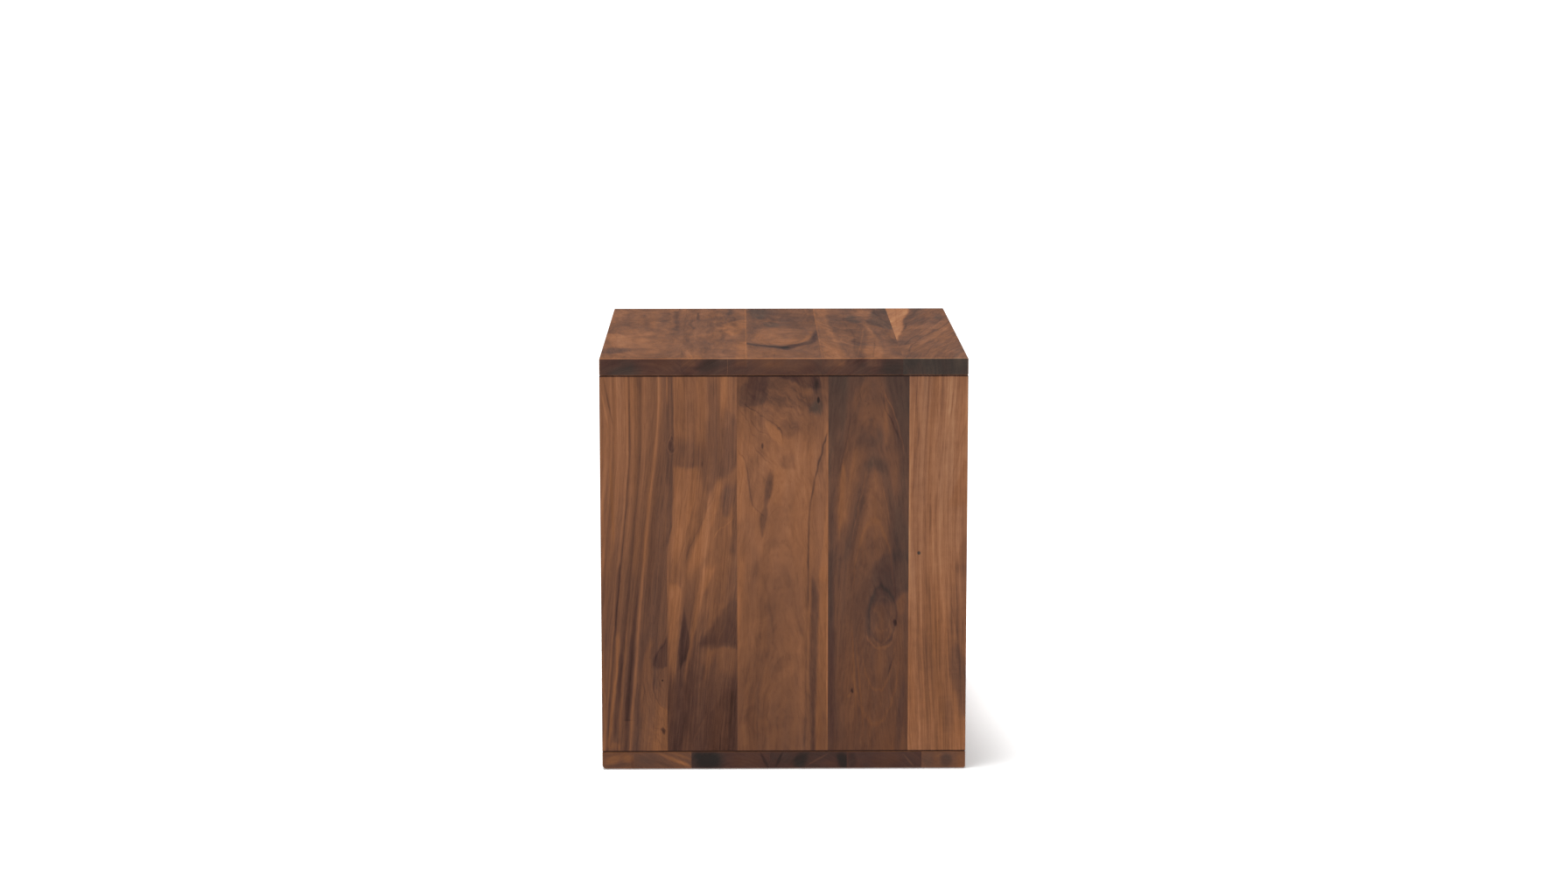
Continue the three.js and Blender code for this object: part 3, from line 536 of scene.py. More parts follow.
                ([(18, 246, 260), (60, 246, 259), (120, 246, 256), (180, 246, 254), (240, 246, 252)], 1.8, (3, 16), -.08, -.3), ([(176, 325, 333), (190, 324, 334), (200, 326, 332)], 2.0, (5, 3), .07, .3),
                ([(92, 303, 307), (106, 300, 309), (126, 298, 313), (133, 301, 310)], 1.4, (6, 2), .05, .1), ([(18, 322, 328), (60, 325, 331), (100, 328, 333)], 1.2, (3, 20), -.06, -.4), ([(232, 262, 273), (260, 271, 279), (290, 276, 285), (310, 279, 289), (330, 282, 293), (344, 286, 299)], 2.4, (14, 8), -.07, -.3),
                ([(240, 317, 328), (260, 317, 325), (290, 314, 323), (310, 310, 320), (330, 304, 316), (344, 299, 314)], 2.4, (14, 8), -.07, -.3), ([(336, 288, 310), (346, 290, 309), (356, 294, 305)], 3.6, (9, 8), -.045, -.2),
                ([(262, 259, 262), (285, 260, 267), (305, 260, 267.6), (325, 261.6, 267.4), (343, 263, 265)], 1.8, (12, 8), .15, .6), ([(268, 265, 269), (300, 268, 273), (320, 270, 275.5), (340, 273, 278.5), (358, 277.5, 281)], 1.6, (14, 8), .09, .3),
                ([(362, 309, 313), (375, 307, 313), (390, 308, 313), (405, 309.5, 311.5)], 1.8, (6, 8), .13, .4), ([(256, 286, 312), (290, 290, 311), (320, 293, 307), (332, 296, 303)], 2.6, (16, 5), .05, .1)],
         lines=[([(307.6, 414), (309, 405), (311, 398), (316, 390), (321, 378), (325, 368)], 1.0, -.15, -.1), ([(309.6, 416), (316, 405), (321, 391), (327, 370), (330, 356)], 1.0, .12, .4),
                ([(288, 410), (292, 408), (297, 412)], .9, -.12, 0), ([(282, 418), (284, 412)], .9, -.12, 0), ([(272, 400), (269, 370), (264, 348), (261, 335)], 1.0, -.08, -.1),
                ([(289, 330), (284, 305), (279, 280), (274, 255)], .8, .06, .2), ([(306, 326), (311, 300), (315, 276)], .8, .06, .2)],
         feats=[("P", (294, 402), (17, 28), 0, .8, .05, .5), ("A", (298, 160), (24, 118), 0, .06, .04, .3), 
                ("O", (308, 173), (14.5, 31), 0, .16, -.08, -.3), ("O", (308, 174), (9, 19), 0, .22, .05, .1), ("V", (306, 171), (16.5, 36), 0, .09, .10, .2),
                ("V", (306, 168), (11.5, 27), 0, .12, .08, .2), ("P", (322.4, 165), (2.0, 3.4), 0, .7, -.24, -.2), ("P", (299, 168), (4, 10), 0, .8, -.06, -.2),
                ("P", (273.9, 89.6), (1.8, 3.4), 0, .7, -.32, -.2), ("P", (271, 82), (2.4, 3), 0, .8, .06, .2), ("V", (303, 150), (19, 60), 0, .07, .05, .3),
                ("V", (300, 150), (27, 98), 0, .06, .04, .3), ("p", (277, 112), (1.2, 50), 3, .7, .06, .8), ("p", (283, 98), (1.1, 50), 5, .7, .05, .6),
                ("p", (252, 150), (3.6, 150), 0, .7, -.06, -.2), ("p", (333, 90), (3.0, 74), 0, .7, -.06, -.1), ("p", (317.5, 118), (1.2, 14), -17, .7, -.12, -.1)]),
    dict(seed=5, gain=.86, pith=(180, 0, 8, 0), ring_zero=180, wander=1.7, contrast=(0.15, 0.27, 0.11), bands=(9.0, 2.6), patchy=0.06, painted_shimmer=0.05, smoke=.08,
         drift=[(0, 6), (100, 2), (200, -2), (300, -4), (400, 0), (457, 2)],
         along=[(0, .60, .6), (40, .59, .7), (90, .56, .7), (150, .55, .65), (190, .59, .5), (230, .67, .35), (300, .67, .3), (350, .70, .3), (457, .67, .3)],
         zones=[([(314, 342, 343.6), (350, 342, 344.6), (372, 345, 348), (400, 342, 346), (442, 341, 345)], 1.0, (8, 6), -.13, -.1), ([(296, 352, 355), (330, 353, 356), (360, 353, 356.6), (400, 352, 358.4), (442, 352, 363)], 1.4, (8, 6), -.08, -.2),
                ([(394, 369.6, 372), (415, 369.4, 374), (442, 371, 374.6)], 1.0, (8, 4), -.17, -.1), ([(300, 368.6, 370.6), (330, 369, 371.4), (352, 370, 371.6)], .9, (10, 8), -.11, -.1), ([(266, 358, 360.6), (280, 358, 361.6), (294, 358.6, 360.8)], 1.0, (6, 6), -.14, -.1),
                ([(294, 379, 402), (305, 383, 402), (320, 388, 402), (346, 396.4, 402)], 1.2, (6, 4), -.09, .3), ([(218, 386, 402), (245, 391, 402), (264, 396.6, 402)], 1.4, (10, 4), -.11, .1),
                ([(150, 380, 402), (190, 384, 402), (230, 387, 402)], 2.4, (14, 10), -.06, -.2), ([(62, 393, 402), (86, 389, 402), (110, 383, 402), (132, 384, 394), (142, 387, 392)], 2.2, (10, 6), -.13, -.4),
                ([(40, 377, 384), (60, 378, 386), (80, 380, 384)], 2.2, (8, 8), -.06, -.2), ([(120, 362, 372), (200, 365, 374), (280, 368, 376)], 2.6, (30, 30), -.05, .2),
                ([(18, 338, 344), (120, 338, 345), (230, 338, 347)], 1.4, (3, 30), .08, 0), ([(18, 347.6, 352), (60, 348, 351.6), (120, 348, 351), (200, 348, 351)], 1.0, (3, 30), .11, 0),
                ([(300, 362, 366), (330, 362, 367), (360, 360, 365), (390, 362, 366)], 1.6, (10, 10), .06, 0), ([(300, 373, 377), (340, 373.6, 380), (362, 376, 382), (400, 376, 383), (440, 375, 382)], 1.4, (8, 6), .07, .1)],
         lines=[([(399.5, 402), (397, 380), (392, 367)], .9, -.14, 0), ([(396, 376), (392, 358), (386, 336), (380, 314)], .9, -.07, 0), ([(386, 442), (384, 420), (381, 396), (378, 372)], .9, -.09, 0), ([(367, 440), (366, 410), (368, 380), (364, 356)], .8, -.07, 0),
                ([(390, 150), (382, 190), (378, 220)], .9, -.07, 0), ([(372, 226), (374, 190), (378, 150), (381, 110)], .9, .06, .1)],
         feats=[("p", (337.2, 230), (1.1, 230), 0, .4, .14, .2),
                ("p", (347.5, 242.4), (1.9, 2.2), 0, .5, -.42, -1.4), ("p", (398, 396), (.9, 15), 0, .7, .14, .3)]),
]

TOP = [
    dict(seed=41, tone=.48, hue=.25, pith=(40, 0.02, 62, 0.03), pith_wobble=20, wander=4.5, contrast=(.18, .17, .10), patchy=.16, smoke=.15, end=(-.27, -.5),
         swirl=[((30, 260), (46, 120), -8, (6.0, 60), .24, .4), ((64, 120), (40, 120), 6, (5.0, 60), .22, .3)],
         zones=[([(176, 14, 26), (230, 4, 44), (300, 2, 50), (350, 4, 52), (372, 10, 50)], 5.0, (24, 10), .13, .3), ([(366, -2, 22), (378, -2, 30), (404, -2, 28), (418, -2, 16)], 4.0, (10, 10), -.11, -.4),
                ([(60, 36, 40), (110, 38, 44), (166, 41, 45)], 2.0, (16, 16), -.12, -.2), ([(30, 73, 79), (120, 75, 80), (210, 78, 82)], 1.8, (14, 30), -.12, -.1), ([(0, 44, 56), (110, 48, 58), (200, 50, 56)], 2.4, (4, 30), .08, .3), ([(424, -2, 70), (446, -2, 84), (460, -2, 88)], 4, (8, 3), -.02, .2)],
         ends=[((20, 10), (28, 14), 0, .7, -.06, -.4), ((62, 10), (22, 14), 0, .7, .01, .3)]),
    dict(seed=42, tone=.46, hue=.25, pith=(170, 0, 70, 0.02), pith_wobble=20, wander=4.5, contrast=(.17, .17, .10), patchy=.15, smoke=.15, end=(-.28, -.5),
         swirl=[((124, 230), (40, 200), 4, (5.0, 60), .22, .3)],
         zones=[([(48, 101.4, 103.6), (80, 101.6, 104.4), (116, 102, 104)], .9, (6, 6), -.22, -.2), ([(8, 138, 146), (50, 137, 144), (84, 134, 139)], 2.0, (6, 8), -.12, -.5), ([(118, 151, 160), (150, 135, 160), (200, 132, 157), (240, 136, 152), (262, 140, 148)], 2.0, (6, 12), .11, .5),
                ([(214, 129, 133), (260, 131, 135), (306, 130, 134)], 1.4, (12, 12), -.11, 0), ([(300, 150, 159), (380, 150, 160), (458, 148, 160)], 2.0, (30, 3), .06, .4), ([(430, 88, 110), (458, 88, 112)], 3.0, (8, 2), .10, .5)],
         lines=[([(159.3, 0), (159.3, 230), (159.3, 457)], 1.0, .18, .4)],
         ends=[((118, 7), (15, 7), -15, .6, -.09, -.3), ((138.5, 9), (.5, 14), 0, .6, .13, .2), ((100, 14), (9, 3), 8, .7, .05, .2)]),
    dict(seed=43, tone=.41, hue=.15, pith=(205, 0, 48, 0.05), pith_wobble=26, wander=4.0, contrast=(.11, .12, .08), patchy=.12, smoke=.15, end=(-.20, -.3),
         swirl=[((198, 290), (46, 80), 78, (5.0, 44), .34, .5), ((200, 120), (44, 110), 84, (7.0, 50), .12, .2)],
         zones=[([(0, 158, 242), (100, 158, 242), (150, 158, 242), (196, 158, 236)], 4.0, (3, 24), -.05, -.1), ([(14, 168, 184), (60, 166, 184), (112, 170, 180)], 3.0, (8, 10), -.08, -.6), ([(136, 178, 190), (160, 182, 198), (188, 186, 196)], 3.0, (8, 8), -.08, -.6),
                ([(186, 186, 214), (222, 176, 226), (252, 170, 230), (292, 166, 229), (322, 166, 219), (344, 178, 208)], 6.0, (26, 8), .14, .3), ([(222, 232, 236), (262, 229, 235), (300, 224, 230), (322, 219, 224)], 1.4, (10, 6), .10, .5),
                ([(214, 238.6, 242), (260, 236, 242), (296, 231.6, 240), (318, 226, 237), (340, 213, 231), (356, 203, 218), (372, 198, 212), (390, 201, 207)], 1.8, (12, 6), -.24, -.4),
                ([(326, 158, 162), (338, 160, 170), (348, 164, 182), (357, 174, 204), (366, 186, 206), (376, 194, 208)], 1.8, (3, 4), -.22, -.5), ([(384, 166, 196), (420, 164, 230), (458, 162, 232)], 4.0, (10, 3), .04, .2)],
         lines=[([(190, 416), (189.6, 457)], .9, -.14, 0), ([(164, 304), (176, 309), (190, 307.8), (200, 303)], .9, -.08, 0), ([(160.6, 0), (160.6, 230), (160.6, 457)], .8, .06, .2)],
         ends=[((200, 8), (30, 8), 6, .8, .07, .3), ((228, 12), (12, 5), -10, .7, -.06, 0)]),
    dict(seed=44, tone=.415, hue=.15, pith=(262, 0.12, 64, 0.02), pith_wobble=30, wander=5.0, contrast=(.17, .16, .09), patchy=.12, smoke=.14, end=(-.26, -.5),
         swirl=[((296, 250), (40, 190), 4, (4.5, 60), .26, .4)],
         zones=[([(0, 243, 256), (100, 242, 256), (200, 242, 258), (300, 243, 262), (458, 243, 266)], 2.0, (3, 3), .15, .4), ([(24, 286, 312), (60, 284, 310), (84, 288, 304)], 3.6, (8, 6), .10, -.1), ([(82, 278, 300), (110, 276, 298), (146, 280, 292)], 3.0, (6, 12), -.09, -.5),
                ([(0, 314, 330), (60, 308, 330), (120, 302, 330), (160, 306, 330), (206, 321, 330)], 2.6, (3, 14), -.15, -.6), ([(154, 298, 300), (220, 299, 305), (260, 297, 307), (300, 296, 309), (340, 293, 309), (400, 289, 310), (458, 290, 306)], 1.8, (16, 3), .17, .3),
                ([(200, 308, 316), (300, 310, 318), (400, 312, 322)], 2.4, (20, 20), .05, -.1), ([(374, 318, 329), (440, 319, 329)], 2.0, (10, 6), -.09, -.2), ([(300, 280, 288), (458, 276, 286)], 2.6, (30, 3), -.06, -.1)],
         lines=[([(241.6, 0), (241.6, 230), (241.6, 457)], 1.0, .14, .4), ([(295, 200), (291, 280), (286, 360), (281, 440)], 1.0, .12, .2), ([(303, 330), (300, 390), (297, 450)], 1.0, -.12, -.1), ([(276, 60), (275, 150), (282, 260), (279, 380)], 1.0, -.10, 0)],
         ends=[((260, 10), (24, 12), 0, .8, .09, .3), ((318, 10), (16, 14), 0, .7, -.05, -.5)]),
    dict(seed=45, tone=.43, hue=.15, pith=(420, -0.26, 40, 0.02), pith_wobble=16, wander=4.0, contrast=(.19, .19, .10), patchy=.12, smoke=.13, end=(-.26, -1.0),
         swirl=[((372, 260), (40, 200), 12, (4.0, 70), .26, .3)],
         zones=[([(0, 326, 357), (60, 326, 353), (110, 326, 346), (160, 326, 343), (210, 326, 340.6), (260, 326, 334), (304, 326, 330.6)], 1.4, (3, 12), .44, .7), ([(188, 389, 395), (230, 379, 388), (270, 368, 376), (300, 360, 367), (344, 351, 356)], 1.8, (12, 20), .13, .1),
                ([(0, 358, 376), (50, 358, 372), (100, 354, 362)], 2.6, (3, 14), -.10, -.4), ([(50, 384, 394), (90, 382, 392), (112, 382, 388)], 2.6, (10, 8), -.10, -.5), ([(380, 386, 402), (458, 384, 402)], 3.0, (20, 3), .05, -.3)],
         lines=[([(399, 130), (380, 210), (362, 270), (346, 340), (337, 420)], 1.3, -.16, -.1), ([(392, 100), (372, 190), (352, 270), (336, 350)], 1.1, -.14, -.1), ([(398, 230), (382, 290), (368, 350), (356, 430)], 1.1, -.11, -.1), ([(386, 200), (370, 250), (350, 320), (338, 380)], 1.0, .10, .2),
                ([(396, 300), (384, 360), (376, 440)], 1.0, .07, .1), ([(347, 150), (344, 190), (338, 240)], 1.2, -.14, 0), ([(341, 0), (338, 90), (335, 180)], 1.0, -.10, 0)],
         ends=[((365, 10), (40, 16), 0, .8, -.01, -.3)]),
]

for s in TOP:
    s["gain"], s["spec"], s["hue"] = 0.97, 0.07, s["hue"] + 0.10

BASE = [
    dict(seed=61, tone=.46, hue=.5, pith=(12, 0, 34, 0.02), wander=3.0, contrast=(.14, .10, .05), end=(-.12, 0),
         ends=[((12, 10), (11, 5), 20, .6, .12, .5), ((28, 12), (7, 5), -10, .7, .09, .5), ((20, 4), (16, 3), 6, .7, -.07, 0), ((33, 6), (2, 8), 0, .7, -.08, 0)]),
    dict(seed=62, tone=.46, hue=.4, pith=(30, 0, -30, 0.02), wander=3.0, contrast=(.14, .10, .05), end=(-.11, -.1),
         ends=[((78, 10.5), (24, 2.4), -23.7, .8, .17, .5), ((88, 14), (12, 1.8), -20, .8, .10, .4), ((46, 8), (13, 10), 0, .7, -.06, -.2), ((68, 5), (16, 2), -18, .7, -.06, 0), ((90, 6), (8, 2), -22, .6, .10, .4)]),
    dict(seed=63, tone=.40, hue=.3, pith=(150, 0, -40, 0.02), wander=3.0, contrast=(.14, .10, .05), end=(-.26, -.5),
         ends=[((117, 9), (17, 12), 0, .6, -.14, -.7), ((104, 16), (5, 5), 0, .7, -.06, -.3), ((160, 10), (22, 12), 0, .8, .05, .4), ((178, 10), (1.8, 11), 28, .6, -.12, -.2)]),
    dict(seed=64, tone=.40, hue=.3, pith=(230, 0, -30, 0.02), wander=3.0, contrast=(.14, .10, .05), end=(-.27, -.5),
         ends=[((195, 10), (1.8, 11), -24, .6, -.12, -.2), ((218, 9), (8, 11), -35, .6, -.13, -.6), ((237, 10), (15, 1.1), 30, .6, .10, .3), ((265, 9), (7, 11), 10, .6, -.13, -.6), ((248, 5), (12, 4), 0, .8, .05, .3)]),
    dict(seed=65, tone=.42, hue=.4, pith=(300, 0, -36, 0.02), wander=3.0, contrast=(.14, .10, .05), end=(-.26, -.4),
         ends=[((275, 9), (6, 11), 0, .7, -.08, -.5), ((337, 9), (10, 1.2), -50, .6, .10, .3), ((310, 10), (20, 9), 0, .8, .03, .3)]),
    dict(seed=66, tone=.46, hue=.4, pith=(385, 0, 36, 0.02), wander=3.0, contrast=(.14, .10, .05), end=(-.08, -.1),
         ends=[((379, 9), (7, 9), 0, .6, -.13, -.5), ((396, 9), (6, 12), 0, .7, .03, .4), ((359, 9), (7, 12), 0, .7, -.03, -.4), ((371, 14), (4, 2), 20, .7, .05, .2)]),
]


def board(seed, u0, u1, tone, hue, **more):
    """A board whose figure is drawn from its seed: streaks, smoky patches, a pale stripe, sometimes a small knot."""
    r = random.Random(seed)
    wide = u1 - u0
    flat = r.random() < 0.45
    feats = []
    for _ in range(5):
        feats.append(("P", (r.uniform(u0, u1), r.uniform(20, 440)), (r.uniform(.06, .20) * wide, r.uniform(20, 70)), r.uniform(-12, 12), .7, r.uniform(-.16, .10), r.uniform(-.4, .3)))
    for _ in range(5):
        feats.append(("P", (r.uniform(u0, u1), r.uniform(20, 440)), (r.uniform(1.2, 3.0), r.uniform(25, 90)), r.uniform(-5, 5), .7, r.choice((-.16, -.12, .10, .14)), r.uniform(-.2, .5)))
    lean = [r.uniform(-7, 7) for _ in range(6)]
    spec = dict(seed=seed, pith=((u0 + u1) / 2 + r.uniform(-20, 20), r.uniform(-.03, .03), r.uniform(28, 50), r.uniform(.02, .09)) if flat else (u0 - 230, 0, 8, 0),
                ring_zero=0 if flat else u0 - 230, pith_wobble=16.0 if flat else 0, wander=r.uniform(1.6, 3.2), patchy=r.uniform(.06, .12),
                contrast=(r.uniform(.08, .14), r.uniform(.08, .15), .05), bands=(r.uniform(8, 12), r.uniform(2.6, 3.6)),
                drift=[(i * 91.0, d) for i, d in enumerate(lean)],
                along=[(i * 115.0, tone + r.uniform(-.06, .06), hue + r.uniform(-.15, .15)) for i in range(5)], feats=feats)
    if r.random() < 0.4:
        spec["knots"] = [(r.uniform(u0 + 12, u1 - 12), r.uniform(80, 380), r.uniform(2.0, 3.4), r.uniform(1.4, 2.2), .9, .3)]
    spec.update(more)
    return spec


LEFT = [board(81, 0, 66, .46, .45), board(82, 66, 151, .55, .45), board(83, 151, 233, .36, .30), board(84, 233, 318, .50, .55), board(85, 318, 400, .40, .35)]
BACK_SPEC = board(91, 0, 73, .44, .45, leaf=73.0, off=20.0, wander=2.4)


# ------------------------------------------------------------------ boards

def finished(o, angle=32.0):
    """Smooth faces, with a sharp edge wherever two meet at more than angle."""
    o.data.polygons.foreach_set("use_smooth", [True] * len(o.data.polygons))
    o.data.set_sharp_from_angle(angle=math.radians(angle))
    return o


def piece(name, mesh, mat, body, slot, *nodes):
    o = bpy.data.objects.new(name, mesh)
    scene.collection.objects.link(o)
    mesh.materials.clear()
    mesh.materials.append(mat)
    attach(o, body)
    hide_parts(*nodes)
    return o


def stave(kind, i, count, mat, slot):
    """A board with its CAD shape, its outer arrises rounded and its glued edges left sharp and tight."""
    node = f"{kind}_stave_{i}"
    bm = bmesh.new()
    bm.from_mesh(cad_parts[node].data)
    bmesh.ops.remove_doubles(bm, verts=bm.verts, dist=1e-6)
    bmesh.ops.dissolve_limit(bm, angle_limit=math.radians(0.5), verts=bm.verts, edges=bm.edges)
    lo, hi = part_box(node)
    glued = []
    if i > 1:
        glued.append((lo.y, -0.000035))
    if i < count:
        glued.append((hi.y, 0.000035))
    for y, move in glued:
        for v in bm.verts:
            if abs(v.co.y - y) < 1e-6:
                v.co.y += move
    planes = [y + move for y, move in glued]
    weight = bm.edges.layers.float.new("bevel_weight_edge")
    inset = 0.0042
    for e in bm.edges:
        if len(e.link_faces) != 2 or e.calc_face_angle(0.0) < math.radians(12.0):
            continue
        mid = (e.verts[0].co + e.verts[1].co) / 2
        if any(abs(e.verts[0].co.y - y) < 1e-6 and abs(e.verts[1].co.y - y) < 1e-6 for y in planes):
            continue
        near = sum((abs(mid[k] - lo[k]) < inset or abs(mid[k] - hi[k]) < inset) for k in range(3))
        on_glue = any(abs(mid.y - y) < inset for y in planes)
        if near >= (3 if on_glue else 2):
            e[weight] = 1.0
    mesh = bpy.data.meshes.new(f"{kind}_board_{i}")
    bm.to_mesh(mesh)
    bm.free()
    o = piece(f"{kind}_board_{i}", mesh, mat, "carcass", slot, node)
    finished(o, 30.0)
    bev = o.modifiers.new("ease", "BEVEL")
    bev.width = 0.00040
    bev.segments = 3
    bev.limit_method = "WEIGHT"
    bev.harden_normals = True
    return o


for kind, run, slot, specs in (("right_side", "right", "walnut_side", RIGHT), ("left_side", "left", "walnut_side", LEFT),
                               ("top", "top", "walnut_top", TOP), ("base", "base", "walnut_base", BASE)):
    for i, spec in enumerate(specs, 1):
        stave(kind, i, len(specs), walnut(f"{kind}_walnut_{i}", run, spec), slot)

BACK_WALNUT = walnut("back_veneer", "back", BACK_SPEC)

# ------------------------------------------------------------------ hardware meshes

def lathe(bm, points, sides, at=(0, 0, 0), axis="Z"):
    """A closed outline of (radius, height) turned about an upright axis, or about Y with height running to the back."""
    rings = []
    for r, h in points:
        if r < 1e-7:
            ring = [bm.verts.new(turned(0, h, 0, at, axis))]
        else:
            ring = [bm.verts.new(turned(r, h, 2 * math.pi * k / sides, at, axis)) for k in range(sides)]
        rings.append(ring)
    for a, b in zip(rings, rings[1:]):
        for k in range(sides):
            n = (k + 1) % sides
            if len(a) == 1 and len(b) == 1:
                continue
            if len(a) == 1:
                bm.faces.new((a[0], b[n], b[k]))
            elif len(b) == 1:
                bm.faces.new((a[k], a[n], b[0]))
            else:
                bm.faces.new((a[k], a[n], b[n], b[k]))
    if len(rings[0]) > 1:
        a, b = rings[-1], rings[0]
        for k in range(sides):
            n = (k + 1) % sides
            bm.faces.new((a[k], a[n], b[n], b[k]))


def turned(r, h, t, at, axis):
    if axis == "Z":
        return (at[0] + r * math.cos(t), at[1] + r * math.sin(t), at[2] + h)
    return (at[0] + r * math.cos(t), at[1] + h, at[2] - r * math.sin(t))


def screwed(bm, core, crest, pitch, h0, h1, sides, at, axis="Z", steps=8, lead=0.0, taper=0.0, cap0=True, cap1=True, sharp=0.5, hand=1.0):
    """A threaded length from h0 to h1. The thread fades out over lead at both ends, and the core narrows over taper at h0."""
    count = max(int((h1 - h0) / pitch * steps), 4)
    rings = []
    for i in range(count + 1):
        h = h0 + (h1 - h0) * i / count
        ring = []
        for k in range(sides):
            t = 2 * math.pi * k / sides
            ph = (h / pitch - hand * k / sides) % 1.0
            tooth = max(0.0, 1.0 - abs(ph - 0.5) / sharp)
            fade = min(1.0, (h - h0) / lead, (h1 - h) / lead) if lead else 1.0
            thin = min(1.0, 0.25 + 0.75 * (h - h0) / taper) if taper else 1.0
            ring.append(bm.verts.new(turned((core + (crest - core) * tooth * max(fade, 0.0)) * thin, h, t, at, axis)))
        rings.append(ring)
    for a, b in zip(rings, rings[1:]):
        for k in range(sides):
            n = (k + 1) % sides
            bm.faces.new((a[k], a[n], b[n], b[k]))
    for ring, h, on, flip in ((rings[0], h0, cap0, True), (rings[-1], h1, cap1, False)):
        if on:
            c = bm.verts.new(turned(0, h, 0, at, axis))
            for k in range(sides):
                n = (k + 1) % sides
                bm.faces.new((ring[n], ring[k], c) if flip else (ring[k], ring[n], c))
    return rings


def mesh_of(name, bm, angle=38.0):
    bmesh.ops.remove_doubles(bm, verts=bm.verts, dist=1e-7)
    bmesh.ops.recalc_face_normals(bm, faces=bm.faces)
    mesh = bpy.data.meshes.new(name)
    bm.to_mesh(mesh)
    bm.free()
    mesh.polygons.foreach_set("use_smooth", [True] * len(mesh.polygons))
    mesh.set_sharp_from_angle(angle=math.radians(angle))
    return mesh


def middle(node):
    lo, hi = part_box(node)
    return (lo + hi) / 2, lo, hi


# ------------------------------------------------------------------ hardware finishes

def beech_wood(name, seed):
    m, g, p = material(name)
    pos = g.vmath("MULTIPLY", g.node("ShaderNodeTexCoord").outputs["Object"], (1000.0, 1000.0, 1000.0))
    fleck = g.noise(g.vmath("MULTIPLY", pos, (3.2, 3.2, 0.45)), 1.0, 2.0, 0.6)
    bands = g.noise(g.vmath("MULTIPLY", g.vmath("ADD", pos, (seed, 0, 0)), (0.55, 0.55, 0.02)), 1.0, 2.0)
    T = g.mad(g.sub(bands, 0.5), 0.9, 0.5)
    T = g.mad(g.step(fleck, 0.60, 0.72), -0.35, T)
    g.put(p.inputs["Base Color"], g.ramp(T, [(0.0, lin((150, 112, 76))), (0.5, lin((196, 158, 114))), (1.0, lin((216, 184, 142)))]))
    g.put(p.inputs["Roughness"], g.mad(fleck, 0.15, 0.58))
    g.put(p.inputs["Normal"], g.bump(fleck, 0.00006, 0.5))
    return m


def metal(name, seen, rough, brush, speck, aged, tint):
    """Plated or blackened steel: turning marks, a cloudy tint, and small tarnish specks."""
    m, g, p = material(name)
    p.inputs["Metallic"].default_value = 1.0
    pos = g.vmath("MULTIPLY", g.node("ShaderNodeTexCoord").outputs["Object"], (1000.0, 1000.0, 1000.0))
    marks = g.noise(g.vmath("MULTIPLY", pos, brush), 1.0, 3.0, 0.6)
    cloud = g.noise(g.vmath("MULTIPLY", pos, (0.35, 0.35, 0.35)), 1.0, 3.0, 0.6, 0.4)
    dots = g.noise(g.vmath("MULTIPLY", pos, (2.4, 2.4, 2.4)), 1.0, 2.0, 0.5)
    col = g.mix(g.step(cloud, 0.42, 0.72), lin(seen), lin(tint))
    col = g.mix(g.mul(g.step(dots, 0.60, 0.74), speck), col, lin(aged))
    g.put(p.inputs["Base Color"], col)
    g.put(p.inputs["Roughness"], g.mad(cloud, 0.22, g.mad(marks, 0.12, rough)))
    g.put(p.inputs["Normal"], g.bump(g.mad(marks, 0.6, g.mul(dots, 0.5)), 0.00003, 0.5))
    return m


def moulded(name):
    m, g, p = material(name)
    pos = g.vmath("MULTIPLY", g.node("ShaderNodeTexCoord").outputs["Object"], (1000.0, 1000.0, 1000.0))
    skin = g.noise(g.vmath("MULTIPLY", pos, (3.5, 3.5, 3.5)), 1.0, 3.0, 0.6)
    cloud = g.noise(g.vmath("MULTIPLY", pos, (0.25, 0.25, 0.25)), 1.0, 2.0)
    z = g.split(pos)[2]
    rub = g.mul(g.step(z, 0.5, 0.05), g.step(g.noise(g.vmath("MULTIPLY", pos, (0.8, 0.8, 0.8)), 1.0, 3.0, 0.7), 0.40, 0.62))
    col = g.mix(cloud, lin((30, 29, 29)), lin((46, 45, 44)))
    col = g.mix(g.mul(rub, 0.7), col, lin((92, 88, 82)))
    g.put(p.inputs["Base Color"], col)
    g.put(p.inputs["Roughness"], g.mad(skin, 0.18, g.mad(rub, 0.12, 0.42)))
    g.put(p.inputs["Normal"], g.bump(skin, 0.00005, 0.6))
    return m


ZINC = metal("zinc_plate", (172, 172, 168), 0.22, (0.6, 0.6, 9.0), 0.5, (120, 116, 106), (158, 160, 164))
OXIDE = metal("black_oxide", (48, 46, 45), 0.34, (1.2, 1.2, 1.2), 0.6, (84, 72, 62), (36, 36, 38))
BRASSY = metal("zinc_insert", (188, 170, 128), 0.26, (0.6, 0.6, 9.0), 0.4, (132, 112, 76), (176, 164, 132))
NYLON = moulded("black_nylon")

# ------------------------------------------------------------------ back panel

